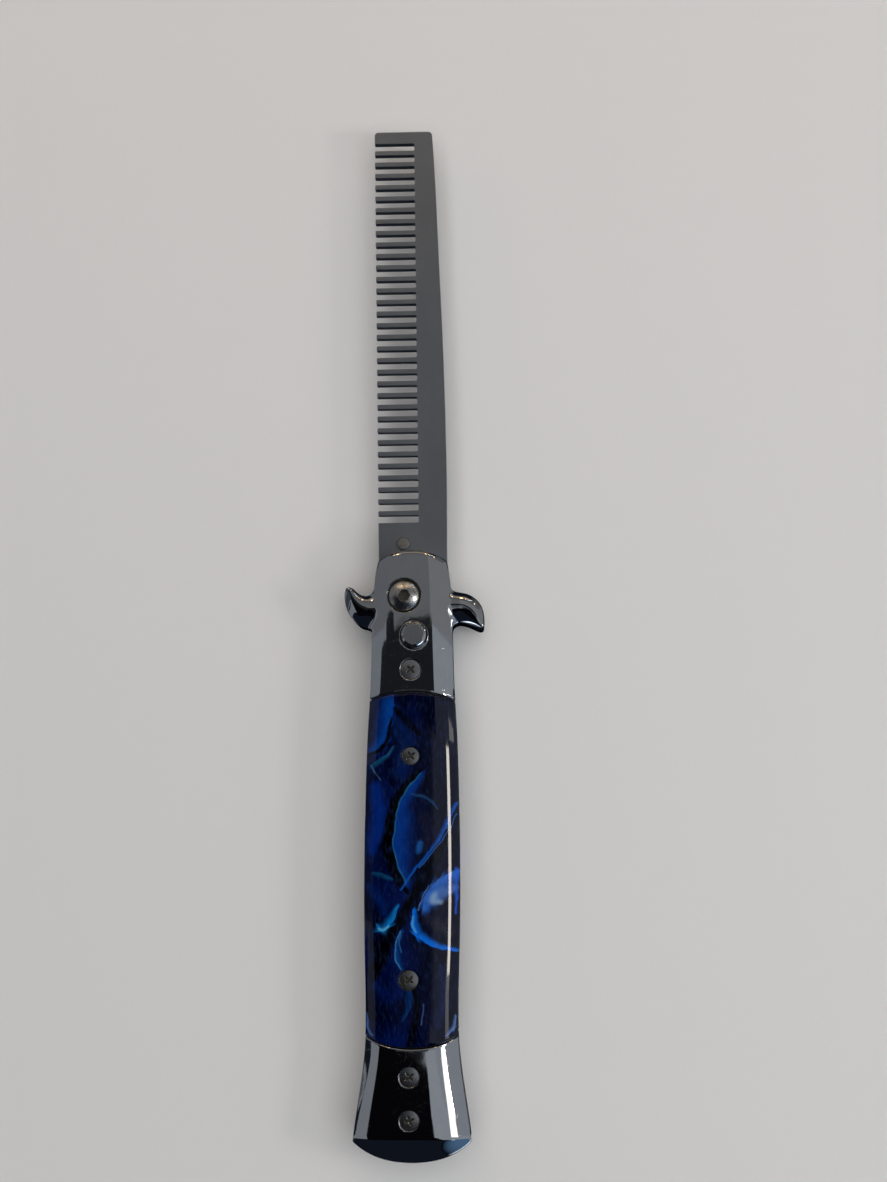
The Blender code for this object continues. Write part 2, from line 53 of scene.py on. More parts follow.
# Stack through the thickness
CASING_LOW = 10.4
BLADE_LOW = 6.6
BLADE_HIGH = 8.4
PIN_LOW = 6.15
PIN_HIGH = 8.85

# Comb, in its own axes: pivot at the origin, tip along +y, teeth along -x
LEAN = math.radians(0.75)
TIP_CORNER_X = 6.6
TIP_RADIUS = (OVERALL_LENGTH / 2 - PIVOT_Y - TIP_CORNER_X * math.sin(LEAN)) / math.cos(LEAN)
SLOTS = 33
PITCH = 2.625
SLOT = 1.6
END_BLOCK = 2.7
TOOTH_TIP_X = -5.65
TOOTH_ROOT_X = 3.15
CORNER = 0.5
SPINE = (
    # y, x of the spine from the tip to the tang
    (103.8, 7.2), (98.0, 7.55), (89.0, 7.88), (75.5, 8.28), (66.3, 8.6), (57.3, 8.9), (43.8, 9.2),
    (26.0, 9.36), (10.6, 9.2), (3.0, 9.1),
)
HEEL_RADIUS = 5.6
HEEL_SWEEP_DEG = 130
PIVOT_BORE = 2.3
PIN_X = -0.3
PIN_Y = 12.07
PIN_RADIUS = 1.3
PIN_FIT = 0.1
PIN_ROLL = 0.12
COMB_EDGE = 0.06
COMB_ROUNDING = 0.22
COMB_SHARP_DEG = 18
SPINE_BLUR = 3.0

# Handle outline: half widths about the axis
HALF_WIDTHS = (
    # y, half width
    (18.0, 6.4), (14.0, 7.45), (11.0, 7.95), (6.0, 8.3), (-2.0, 8.55), (-10.0, 8.75), (-15.7, 9.0),
    (-24.0, 9.5), (-33.0, 9.75), (-45.0, 10.0), (-57.0, 10.05), (-67.0, 9.9), (-78.0, 9.6),
    (-85.5, 9.6), (-90.5, 9.95), (-96.0, 10.7), (-102.0, 11.65), (-107.0, 12.35), (-112.5, 13.1),
)
WIDTH_BLUR = 1.8

# Cross-section of the handle's faces
CROWN_DROP = 2.3
CROWN_FLAT = 0.42
CROWN_POWER = 2.2

# Seams across the handle: height on the axis, radius, and +1 where they bulge towards the tip
SEAMS = {
    "bolster_end": (16.15, 13.4, 1),
    "bolster_scale": (-14.3, 27.8, 1),
    "scale_pommel": (-87.6, 21.9, -1),
    "pommel_end": (END_Y, 19.4, -1),
}
SEAM_HALF_GAP = 0.15

# Rounded end of the pommel
NOSE_LENGTH = 5.4
NOSE_DROP = 4.1
NOSE_START_SLOPE = 0.45
NOSE_BLEND = 0.7
POMMEL_CROWN_DROP = 3.2
POMMEL_CROWN_FLAT = 0.33
POMMEL_CROWN_POWER = 2.0

# Guards: matching points of the upper and the lower edge from the handle out to the tip,
# from the handle axis and from the height of the pivot, with the height of the guard's back
GUARD_LEFT = (
    # upper x, upper y, lower x, lower y, rise above the liner side
    (-6.6, 2.4, -6.6, -8.4, 2.9),
    (-8.3, 1.3, -8.75, -6.9, 2.9),
    (-9.3, 0.45, -9.9, -6.45, 2.9),
    (-10.6, 0.4, -11.3, -6.0, 2.85),
    (-11.7, 0.95, -12.7, -4.75, 2.75),
    (-12.4, 1.6, -13.9, -3.0, 2.65),
    (-13.0, 2.1, -14.5, -1.0, 2.5),
    (-13.6, 2.25, -14.64, 0.6, 2.3),
    (-14.1, 2.1, -14.5, 1.5, 2.1),
)
GUARD_RIGHT = (
    # upper x, upper y, lower x, lower y, rise above the liner side
    (6.6, 3.0, 6.6, -7.9, 2.9),
    (8.4, 1.5, 8.6, -6.1, 2.9),
    (10.0, 1.1, 10.0, -5.45, 2.9),
    (11.6, 0.8, 11.3, -5.65, 2.85),
    (13.0, 0.1, 12.4, -6.05, 2.8),
    (14.2, -1.0, 13.4, -6.5, 2.7),
    (15.0, -2.4, 14.2, -6.85, 2.5),
    (15.36, -4.2, 14.85, -6.95, 2.3),
    (15.4, -5.9, 15.25, -6.7, 2.1),
)
GUARD_STEPS = 8
GUARD_EDGE_SHARE = 0.34
GUARD_RIDGE = 0.42
GUARD_UPPER_ROUNDNESS = 3.4
GUARD_LOWER_ROUNDNESS = 2.0
GUARD_FILLET = 0.5
GUARD_FROM_X = 4.5
GUARD_BESIDE = 0.3
GUARD_FOOT_FADE = (-0.2, 1.6)
GUARD_HEAD_FADE = (-0.6, 0.8)
ROOT_BLUR = 0.5
ROOT_REACH = 1.6
ROOT_GAP = 0.2
OUTLINE_BLUR = 0.2
OUTLINE_FINE = 0.08

# Rolled edges of the castings and of the scales
BOLSTER_ROLL = 0.28
BOLSTER_END_ROLL = 1.15
BOLSTER_END_FROM = 11.5
BOLSTER_END_TO = 13.6
POMMEL_ROLL = 0.3
POMMEL_BLUR = 0.2
POMMEL_SEAT_ROLL = 0.07
SCALE_ROLL = 0.28
SCALE_BLUR = 0.15
SEAT_ROLL = 0.1

# Pivot screw and its nut
PIVOT_SEAT_RADIUS = 3.6
PIVOT_SEAT_FLOOR = 13.8
PIVOT_HEAD_RADIUS = 3.25
PIVOT_HEAD_LOW = 14.0
PIVOT_RIM = 14.7
PIVOT_DOME = 1.2
PIVOT_SOCKET_RADIUS = 1.33
PIVOT_SOCKET_DEPTH = 1.3
PIVOT_SOCKET_ROLL = 0.1
PIVOT_ROLL = 0.16
PIVOT_GRID = 0.2
PIVOT_SHANK_RADIUS = 2.0
PIVOT_SHANK_LOW = 1.4
NUT_LOW = 0.2
NUT_HIGH = 1.0
NUT_ROLL = 0.2
NUT_DIMPLE = 1.1

# Push button
BUTTON_X = AXIS_X + 0.4
BUTTON_Y = -2.2
BUTTON_RADIUS = 2.6
BUTTON_TOP = 17.0
BUTTON_CHAMFER = 0.42
BUTTON_EDGE = 0.03
BUTTON_EDGE_WIDTH = 0.05
BUTTON_SIDE_SHARE = 1.3
BUTTON_RIM = 0.22
BUTTON_FLANGE_RADIUS = 3.5
BUTTON_FLANGE_LOW = 11.8
BUTTON_FLANGE_HIGH = 12.6
BUTTON_HOLE_RADIUS = 2.9
BUTTON_POCKET_RADIUS = 3.8
BUTTON_POCKET_ROOF = 12.9

# Cross-head screws
SCREWS = {
    # x from the axis, y, seat radius, sunk, turn of the cross in degrees
    "bolster_screw": (-0.3, -9.45, 2.2, 0.15, 45.0),
    "scale_screw_1": (-0.25, -27.6, 1.95, 0.7, 38.0),
    "scale_screw_2": (-0.55, -73.8, 2.1, 0.5, 50.0),
    "pommel_screw_1": (-0.4, -93.3, 2.1, 0.15, 40.0),
    "pommel_screw_2": (-0.4, -102.0, 2.1, 0.15, 20.0),
}
SCREW_HEAD = 0.9
SCREW_SHANK_RADIUS = 0.85
SCREW_SHANK_LOW = 9.2
SEAT_CLEARANCE = 0.2
SEAT_RING = 0.09
CROSS_RADIUS = 1.05
CROSS_NECK = 0.3
CROSS_DEPTH = 0.5
CROSS_TAPER = 0.55
CROSS_LOBE_POWER = 1.6
CROSS_ROLL = 0.07
SCREW_ROLL = 0.09
SCREW_FACE_DROP = 0.11
SCREW_SPACING = 0.15
SCREW_GRID = 0.16
RECESS_POINTS = 72

# Rolled edges in a mesh: shares of the roll at which it gets a row of points, how much of its reach
# such a row keeps from other outlines, the free strip beside the roll as a share of the grid, and
# the height of the first strip of the wall below it
ROLL_SHARES = (0.034, 0.134, 0.293, 0.5, 0.741, 1.0)
FREE_SHARE = 0.97
FREE_STRIP = 0.45
WALL_STRIP = 0.15
TOUCHING = 1e-4

# Numbers of points, steps in mm, and how many points are worked out at once
CORNER_POINTS = 3
SHOULDER_POINTS = 6
HEEL_POINTS = 24
SPINE_POINTS = 60
SEAM_POINTS = 120
SEAM_ROUNDS = 12
TABLE_STEP = 0.1
SIDE_STEP = 0.2
BATCH = 2000

# Spacing of the points along the outlines and over the faces
BOLSTER_SPACING = 0.22
BOLSTER_GRID = 0.28
SCALE_SPACING = 0.3
SCALE_GRID = 0.45
POMMEL_SPACING = 0.25
POMMEL_GRID = 0.3


def bell_curve(reach, step):
    """Shares of a bell at steps on both sides of its middle."""
    bell = np.exp(-0.5 * (np.arange(-reach, reach + 1) * step) ** 2)
    return bell / bell.sum()


def smooth_table(table, blur):
    """Evenly placed values between the rows of a table, smoothed."""
    rows = np.array(sorted(table))
    places = np.arange(rows[0, 0], rows[-1, 0], TABLE_STEP)
    values = np.interp(places, rows[:, 0], rows[:, 1])
    reach = int(3 * blur / TABLE_STEP)
    padded = np.pad(values, reach, mode="reflect", reflect_type="odd")
    return places, np.convolve(padded, bell_curve(reach, TABLE_STEP / blur), mode="valid")


WIDTH_PLACES, WIDTH_VALUES = smooth_table(HALF_WIDTHS, WIDTH_BLUR)


def half_width(y):
    return np.interp(y, WIDTH_PLACES, WIDTH_VALUES)


def seam_y(seam, x, shift=0.0):
    """Height of a seam at a distance x from the axis, moved by shift towards the tip."""
    middle, radius, sense = SEAMS[seam]
    return middle + shift - sense * (radius - np.sqrt(radius * radius - x * x))


def seam_corner(seam, shift=0.0):
    """Half width of the handle where a seam meets its side."""
    x = half_width(SEAMS[seam][0])
    for _ in range(SEAM_ROUNDS):
        x = half_width(seam_y(seam, x, shift))
    return float(x)


def seam_row(seam, shift, side):
    """Points along a seam from the side -side to the side +side of the handle."""
    reach = seam_corner(seam, shift)
    x = np.linspace(-side * reach, side * reach, SEAM_POINTS)
    return np.stack([AXIS_X + x, seam_y(seam, x, shift)], 1)


def side_row(start, end, side):
    y = np.linspace(start, end, max(3, int(abs(end - start) / SIDE_STEP)))
    return np.stack([AXIS_X + side * half_width(y), y], 1)


def catmull(rows, steps):
    """Smooth rows through the rows of a table."""
    rows = np.array(rows)
    padded = np.vstack([rows[:1], rows, rows[-1:]])
    result = []
    for a, b, c, d in zip(padded, padded[1:], padded[2:], padded[3:]):
        for t in np.arange(steps) / steps:
            part = 2 * b + (c - a) * t + (2 * a - 5 * b + 4 * c - d) * t * t
            result.append(0.5 * (part + (3 * b - a - 3 * c + d) * t**3))
    result.append(rows[-1])
    return np.array(result)


def resampled(loop, spacing):
    """A closed outline with evenly spaced points."""
    closed = np.vstack([loop, loop[:1]])
    along = np.concatenate([[0.0], np.cumsum(np.linalg.norm(np.diff(closed, axis=0), axis=1))])
    count = int(round(along[-1] / spacing))
    at = np.arange(count) * along[-1] / count
    return np.stack([np.interp(at, along, closed[:, 0]), np.interp(at, along, closed[:, 1])], 1)


def softened(loop, blur):
    """A closed, finely spaced outline with its corners rounded."""
    reach = int(3 * blur / OUTLINE_FINE) + 1
    bell = bell_curve(reach, OUTLINE_FINE / blur)
    return sum(share * np.roll(loop, k - reach, axis=0) for k, share in enumerate(bell))


def even_turns(count):
    return 2 * math.pi * np.arange(count) / count


def around(x, y, radius, turns):
    """Points round a middle, with one radius or one for each turn."""
    return np.stack([x + radius * np.cos(turns), y + radius * np.sin(turns)], 1)


def circle(x, y, radius, spacing=0.2):
    return around(x, y, radius, even_turns(max(24, int(2 * math.pi * radius / spacing))))


def offset(loop, reach):
    """A closed outline moved to the left of its direction, which is inwards if it runs anticlockwise."""
    tangent = np.roll(loop, -1, axis=0) - np.roll(loop, 1, axis=0)
    tangent /= np.linalg.norm(tangent, axis=1)[:, None]
    left = np.stack([-tangent[:, 1], tangent[:, 0]], 1)
    return loop + left * np.reshape(reach, (-1, 1))


def distance(points, loop, closed=True):
    """Distance from each point to an outline."""
    start = loop if closed else loop[:-1]
    run = (np.roll(loop, -1, axis=0) - loop) if closed else np.diff(loop, axis=0)
    square = (run**2).sum(1)
    result = np.empty(len(points))
    for first in range(0, len(points), BATCH):
        part = points[first : first + BATCH]
        gap = part[:, None, :] - start[None, :, :]
        t = np.clip((gap * run[None]).sum(2) / square[None], 0, 1)
        gap -= t[:, :, None] * run[None]
        result[first : first + BATCH] = np.sqrt((gap**2).sum(2).min(1))
    return result


def inside(points, loop):
    """Whether each point is inside a closed outline."""
    x0, y0 = loop.T[:, None, :]
    x1, y1 = np.roll(loop, -1, axis=0).T[:, None, :]
    slope = (x1 - x0) / np.where(y1 == y0, 1.0, y1 - y0)
    result = np.empty(len(points), bool)
    for first in range(0, len(points), BATCH):
        x, y = points[first : first + BATCH].T[:, :, None]
        hits = ((y0 > y) != (y1 > y)) & (x < slope * (y - y0) + x0)
        result[first : first + BATCH] = hits.sum(1) % 2 == 1
    return result


def edge_drop(gap, radius):
    """How far a rolled edge lies below the face at a distance from the outline."""
    inset = np.clip(radius - gap, 0.0, radius)
    return radius - np.sqrt(np.maximum(radius**2 - inset**2, 0.0))


def hex_grid(low, high, spacing):
    rows = np.arange(low[1], high[1], spacing * math.sqrt(3) / 2)
    columns = np.arange(low[0], high[0], spacing)
    x, y = np.meshgrid(columns, rows)
    x[1::2] += spacing / 2
    return np.stack([x.ravel(), y.ravel()], 1)


def triangulated(points, loops):
    """Triangles over the points, inside the first outline and outside the others."""
    edges, first = [], 0
    for loop in loops:
        count = len(loop)
        edges += [(first + i, first + (i + 1) % count) for i in range(count)]
        first += count
    flat = [Vector(point) for point in np.vstack([*loops, points]).tolist()]
    corners, _, faces, _, _, _ = delaunay_2d_cdt(flat, edges, [], 0, 1e-7)
    corners = np.array([tuple(corner) for corner in corners])
    faces = np.array(faces)
    middles = corners[faces].mean(1)
    keep = inside(middles, loops[0])
    for loop in loops[1:]:
        keep &= ~inside(middles, loop)
    return corners, faces[keep]


def added(name, data):
    """A new object in the scene."""
    thing = bpy.data.objects.new(name, data)
    bpy.context.scene.collection.objects.link(thing)
    return thing


class Shell:
    """Collects the faces of one closed piece in millimetres."""

    def __init__(self):
        self.work = bmesh.new()
        self.material = 0

    def sheet(self, corners, faces, heights):
        """Triangles with a height at each corner."""
        spots = [self.work.verts.new((x, y, z)) for (x, y), z in zip(corners, heights)]
        for face in faces:
            self.work.faces.new([spots[int(i)] for i in face]).material_index = self.material

    def flat(self, loops, height):
        """A level face inside the first outline and outside the others."""
        corners, faces = triangulated(np.empty((0, 2)), loops)
        self.sheet(corners, faces, np.full(len(corners), height))

    def wall(self, rows):
        """Strips between closed rows of matching points."""
        rings = [[self.work.verts.new(point) for point in row] for row in rows]
        for ring, following in zip(rings, rings[1:]):
            for i in range(len(ring)):
                j = (i + 1) % len(ring)
                face = self.work.faces.new((ring[i], ring[j], following[j], following[i]))
                face.material_index = self.material

    def finished(self, name, sharp_deg=32.0):
        """The object, turned over about the middle plane if its name says back."""
        bmesh.ops.remove_doubles(self.work, verts=self.work.verts, dist=1e-3)
        if name.endswith("back"):
            for spot in self.work.verts:
                spot.co.z = THICKNESS - spot.co.z
        bmesh.ops.scale(self.work, vec=(MM, MM, MM), verts=self.work.verts)
        bmesh.ops.recalc_face_normals(self.work, faces=self.work.faces)
        mesh = bpy.data.meshes.new(name)
        self.work.to_mesh(mesh)
        self.work.free()
        mesh.shade_smooth()
        mesh.set_sharp_from_angle(angle=math.radians(sharp_deg))
        return added(name, mesh)


class Hole:
    """A recess in a face: its outline, the roll of its rim, and the rows down its wall."""

    def __init__(self, outline, rim, steps, through=False, taper=1.0):
        self.outline = outline
        self.rim = rim
        self.steps = steps
        self.through = through
        self.taper = taper

    def row(self, widen, height):
        """The outline at a height down the wall."""
        middle = self.outline.mean(0)
        loop = offset(self.outline, -widen) if widen else self.outline
        if height == self.steps[-1][1] and not self.through:
            loop = middle + (loop - middle) * self.taper
        return loop, height


def ring(loop, heights):
    return np.column_stack([loop, np.broadcast_to(heights, len(loop))])


def add_relief(shell, outline, surface, low, roll, holes, grid):
    """A block with a shaped top: rolled edges, a face that follows surface(points), and recesses."""
    roll_at = roll if callable(roll) else lambda points: np.full(len(points), roll)
    loops = [outline] + [hole.outline for hole in holes]
    rims = [roll_at] + [lambda points, r=hole.rim: np.full(len(points), r) for hole in holes]

    def heights(points):
        z = surface(points)
        for loop, rim in zip(loops, rims):
            gap = distance(points, loop)
            z = z - edge_drop(np.where(gap < TOUCHING, 0.0, gap), rim(points))
        return z

    clouds = []
    for k, (loop, rim) in enumerate(zip(loops, rims)):
        sign = 1 if k == 0 else -1
        for share in ROLL_SHARES:
            reach = share * rim(loop)
            row = offset(loop, sign * reach)
            true = np.min([distance(row, other) for other in loops], axis=0)
            clouds.append(row[true > reach * FREE_SHARE - TOUCHING])
    field = hex_grid(outline.min(0), outline.max(0), grid)
    keep = inside(field, outline)
    for k, (loop, rim) in enumerate(zip(loops, rims)):
        keep &= distance(field, loop) > rim(field) + FREE_STRIP * grid
        if k:
            keep &= ~inside(field, loop)
    clouds.append(field[keep])
    corners, faces = triangulated(np.vstack(clouds), loops)
    shell.sheet(corners, faces, heights(corners))

    top = heights(outline)
    shell.wall([ring(outline, height) for height in (top, top - WALL_STRIP, low)])
    shell.flat([outline] + [hole.row(*hole.steps[-1])[0] for hole in holes if hole.through], low)
    # Hole walls and floors get the second material, the steel with painted shade
    shell.material = 1
    for hole in holes:
        rows = [ring(hole.outline, heights(hole.outline))]
        rows += [ring(*hole.row(*step)) for step in hole.steps]
        shell.wall(rows)
        if not hole.through:
            shell.flat([hole.row(*hole.steps[-1])[0]], hole.steps[-1][1])
    shell.material = 0


def add_turned(shell, x, y, profile, sides=72):
    """A turned piece about z from a profile of (radius, height); it closes where the radius is 0."""
    turns = even_turns(sides)
    rows = [ring(around(x, y, max(radius, 1e-4), turns), height) for radius, height in profile]
    shell.wall(rows)
    for row in (rows[0], rows[-1]):
        shell.work.faces.new([shell.work.verts.new(point) for point in row])


def rounded(points, radius):
    """A closed outline with each corner turned into a short arc."""
    points = np.array(points, float)
    result = []
    for before, corner, after in zip(np.roll(points, 1, axis=0), points, np.roll(points, -1, axis=0)):
        back, ahead = before - corner, after - corner
        lengths = np.linalg.norm(back), np.linalg.norm(ahead)
        reach = min(radius, 0.45 * lengths[0], 0.45 * lengths[1])
        start, end = corner + back / lengths[0] * reach, corner + ahead / lengths[1] * reach
        for t in np.linspace(0, 1, CORNER_POINTS):
            result.append((1 - t) ** 2 * start + 2 * t * (1 - t) * corner + t * t * end)
    return np.array(result)


def crown(points, drop=CROWN_DROP, flat=CROWN_FLAT, power=CROWN_POWER):
    """Height of the handle's face, which is flat in the middle and falls away to the sides."""
    share = np.abs(points[:, 0] - AXIS_X) / half_width(points[:, 1])
    rolled = np.maximum(0.0, (share - flat) / (1 - flat))
    return THICKNESS - drop * rolled**power


def smooth_ramp(value, start, end):
    t = np.clip((value - start) / (end - start), 0, 1)
    return t * t * (3 - 2 * t)


def guard_edges(rows):
    """Upper and lower edge of a guard as dense rows, from the handle out to the tip."""
    dense = catmull(rows, GUARD_STEPS)
    upper = dense[:, 0:2] + (AXIS_X, PIVOT_Y)
    lower = dense[:, 2:4] + (AXIS_X, PIVOT_Y)
    return upper, lower


def guard_crown(points, rows):
    """Height of a guard's rounded back."""
    upper, lower = guard_edges(rows)
    above = distance(points, upper, closed=False)
    below = distance(points, lower, closed=False)
    across = above / np.maximum(above + below, 1e-6)
    table = np.array([(abs(row[0] + row[2]) / 2, row[4]) for row in rows])
    rise = np.interp(np.abs(points[:, 0] - AXIS_X), table[:, 0], table[:, 1])
    beside = np.abs(points[:, 0] - AXIS_X) > abs(rows[1][2]) + GUARD_BESIDE
    level = points[:, 1] - PIVOT_Y
    along = smooth_ramp(level, *(rows[0][3] + shift for shift in GUARD_FOOT_FADE))
    along = along * (1 - smooth_ramp(level, *(rows[0][1] + shift for shift in GUARD_HEAD_FADE)))
    rise = rise * np.where(beside, 1.0, along)
    down = np.clip((across - GUARD_RIDGE) / (1 - GUARD_RIDGE), 0, 1) ** GUARD_LOWER_ROUNDNESS
    up = np.clip(1 - across / GUARD_RIDGE, 0, 1) ** GUARD_UPPER_ROUNDNESS
    share = 1 - (1 - GUARD_EDGE_SHARE) * (down + up)
    height = CASING_LOW + rise * share
    side = np.sign(rows[0][0])
    return np.where((points[:, 0] - AXIS_X) * side > GUARD_FROM_X, height, CASING_LOW)


def smooth_high(a, b, reach):
    """The higher of two surfaces, with a fillet where they meet."""
    overlap = np.maximum(reach - np.abs(a - b), 0) / reach
    return np.maximum(a, b) + overlap**2 * reach / 4


def bolster_surface(points):
    result = np.maximum(crown(points), CASING_LOW)
    for rows in (GUARD_LEFT, GUARD_RIGHT):
        result = smooth_high(result, guard_crown(points, rows), GUARD_FILLET)
    return np.minimum(result, THICKNESS)


def bolster_roll(points):
    share = smooth_ramp(points[:, 1], BOLSTER_END_FROM, BOLSTER_END_TO)
    return BOLSTER_ROLL + (BOLSTER_END_ROLL - BOLSTER_ROLL) * share


def bolster_outline():
    """Outline of the bolster with both guards, anticlockwise."""
    roots = []
    pieces = [seam_row("bolster_scale", SEAM_HALF_GAP, 1)]
    foot = pieces[0][-1][1]
    head = float(seam_y("bolster_end", seam_corner("bolster_end")))
    for side, rows in ((1, GUARD_RIGHT), (-1, GUARD_LEFT)):
        upper, lower = (
            edge[np.abs(edge[:, 0] - AXIS_X) > half_width(edge[:, 1]) + ROOT_GAP / 4]
            for edge in guard_edges(rows)
        )
        roots += [upper[0], lower[0]]
        below = side_row(foot, lower[0][1] - ROOT_GAP, side)[1:]
        above = side_row(upper[0][1] + ROOT_GAP, head, side)[:-1]
        flank = np.vstack([below, lower, upper[::-1], above])
        pieces.append(flank if side > 0 else flank[::-1])
        if side > 0:
            pieces.append(seam_row("bolster_end", 0.0, -1))
    loop = softened(resampled(np.vstack(pieces), OUTLINE_FINE), OUTLINE_BLUR)
    softer = softened(loop, ROOT_BLUR)
    near = np.min([np.linalg.norm(loop - root, axis=1) for root in roots], axis=0)
    share = np.exp(-((near / ROOT_REACH) ** 2))[:, None]
    return resampled(loop + share * (softer - loop), BOLSTER_SPACING)


def band_outline(upper, upper_shift, lower, lower_shift, blur, spacing):
    """Outline of the handle between two seams, anticlockwise."""
    low_row = seam_row(lower, lower_shift, 1)
    high_row = seam_row(upper, upper_shift, -1)
    right = side_row(low_row[-1][1], high_row[0][1], 1)[1:-1]
    left = side_row(high_row[-1][1], low_row[0][1], -1)[1:-1]
    loop = resampled(np.vstack([low_row, right, high_row, left]), OUTLINE_FINE)
    return resampled(softened(loop, blur), spacing)


def pommel_surface(points):
    t = (END_Y + NOSE_LENGTH - points[:, 1]) / NOSE_LENGTH
    soft = NOSE_BLEND / NOSE_LENGTH / 2
    t = np.where(t > soft, t, np.where(t < -soft, 0.0, (t + soft) ** 2 / (4 * soft)))
    fall = NOSE_DROP * (NOSE_START_SLOPE * t + (1 - NOSE_START_SLOPE) * t * t)
    body = crown(points, POMMEL_CROWN_DROP, POMMEL_CROWN_FLAT, POMMEL_CROWN_POWER)
    return np.maximum(body - fall, CASING_LOW + POMMEL_ROLL)


def seat(name, rim):
    """Counterbore of a screw."""
    x, y, seat_radius, sunk, _ = SCREWS[name]
    floor = THICKNESS - sunk - SCREW_HEAD - SEAT_CLEARANCE
    return Hole(circle(AXIS_X + x, y, seat_radius), rim, [(0.0, floor)])


def make_bolster(face):
    holes = [
        seat("bolster_screw", SEAT_ROLL),
        Hole(circle(PIVOT_X, PIVOT_Y, PIVOT_SEAT_RADIUS), SEAT_ROLL, [(0.0, PIVOT_SEAT_FLOOR)]),
    ]
    if face == "front":
        pocket = BUTTON_POCKET_RADIUS - BUTTON_HOLE_RADIUS
        steps = [(0.0, BUTTON_POCKET_ROOF), (pocket, BUTTON_POCKET_ROOF), (pocket, CASING_LOW)]
        rim = circle(BUTTON_X, BUTTON_Y, BUTTON_HOLE_RADIUS)
        holes.append(Hole(rim, BUTTON_RIM, steps, through=True))
    shell = Shell()
    outline = bolster_outline()
    add_relief(shell, outline, bolster_surface, CASING_LOW, bolster_roll, holes, BOLSTER_GRID)
    return shell.finished("bolster_shell_" + face)


def make_scale(face):
    seams = "bolster_scale", -SEAM_HALF_GAP, "scale_pommel", SEAM_HALF_GAP
    holes = [seat("scale_screw_1", SEAT_ROLL), seat("scale_screw_2", SEAT_ROLL)]
    shell = Shell()
    outline = band_outline(*seams, SCALE_BLUR, SCALE_SPACING)
    add_relief(shell, outline, crown, CASING_LOW, SCALE_ROLL, holes, SCALE_GRID)
    return shell.finished("scale_slab_" + face)


def make_pommel(face):
    seams = "scale_pommel", -SEAM_HALF_GAP, "pommel_end", 0.0
    holes = [seat("pommel_screw_1", POMMEL_SEAT_ROLL), seat("pommel_screw_2", POMMEL_SEAT_ROLL)]
    shell = Shell()
    outline = band_outline(*seams, POMMEL_BLUR, POMMEL_SPACING)
    add_relief(shell, outline, pommel_surface, CASING_LOW, POMMEL_ROLL, holes, POMMEL_GRID)
    return shell.finished("pommel_cap_" + face)


def cross_outline(x, y, turn_deg):
    """Rounded outline of a cross recess."""
    turns = even_turns(RECESS_POINTS)
    lobe = np.cos(2 * (turns - math.radians(turn_deg))) ** 2
    radius = CROSS_RADIUS * (CROSS_NECK + (1 - CROSS_NECK) * lobe**CROSS_LOBE_POWER)
    return around(x, y, radius, turns)


def make_screw(name, face):
    x, y, seat_radius, sunk, turn_deg = SCREWS[name]
    x += AXIS_X
    head_radius = seat_radius - SEAT_RING
    top = THICKNESS - sunk
    low = top - SCREW_HEAD
    floor = [(0.0, top - CROSS_DEPTH)]
    cross = Hole(cross_outline(x, y, turn_deg), CROSS_ROLL, floor, taper=CROSS_TAPER)

    def dish(points):
        share = np.hypot(points[:, 0] - x, points[:, 1] - y) / head_radius
        return top - SCREW_FACE_DROP * share**2

    shell = Shell()
    rim = circle(x, y, head_radius, SCREW_SPACING)
    add_relief(shell, rim, dish, low, SCREW_ROLL, [cross], SCREW_GRID)
    profile = [(SCREW_SHANK_RADIUS, low), (SCREW_SHANK_RADIUS, SCREW_SHANK_LOW)]
    add_turned(shell, x, y, profile, sides=32)
    return shell.finished(name + "_head_" + face)


def make_pivot_screw():
    """Domed head with a hexagon socket."""
    turns = even_turns(RECESS_POINTS)
    sector = np.mod(turns, math.pi / 3) - math.pi / 6
    radius = PIVOT_SOCKET_RADIUS * math.cos(math.pi / 6) / np.cos(sector)
    hexagon = around(PIVOT_X, PIVOT_Y, radius, turns)
    bulge = (PIVOT_HEAD_RADIUS**2 + PIVOT_DOME**2) / (2 * PIVOT_DOME)
    top = PIVOT_RIM + PIVOT_DOME

    def dome(points):
        away = np.hypot(points[:, 0] - PIVOT_X, points[:, 1] - PIVOT_Y)
        return top - bulge + np.sqrt(np.maximum(bulge**2 - away**2, 0))

    socket = Hole(hexagon, PIVOT_SOCKET_ROLL, [(0.0, top - PIVOT_SOCKET_DEPTH)])
    shell = Shell()
    rim = circle(PIVOT_X, PIVOT_Y, PIVOT_HEAD_RADIUS)
    add_relief(shell, rim, dome, PIVOT_HEAD_LOW, PIVOT_ROLL, [socket], PIVOT_GRID)
    shank = [(PIVOT_SHANK_RADIUS, PIVOT_HEAD_LOW), (PIVOT_SHANK_RADIUS, PIVOT_SHANK_LOW)]
    add_turned(shell, PIVOT_X, PIVOT_Y, shank)
    return shell.finished("pivot_screw_head")


def arc_profile(radius, height, roll):
    """Rounded shoulder of a turned piece, from its flat top to its straight side."""
    angles = np.linspace(0, math.pi / 2, SHOULDER_POINTS)
    return [(radius - roll + roll * math.sin(a), height - roll + roll * math.cos(a)) for a in angles]


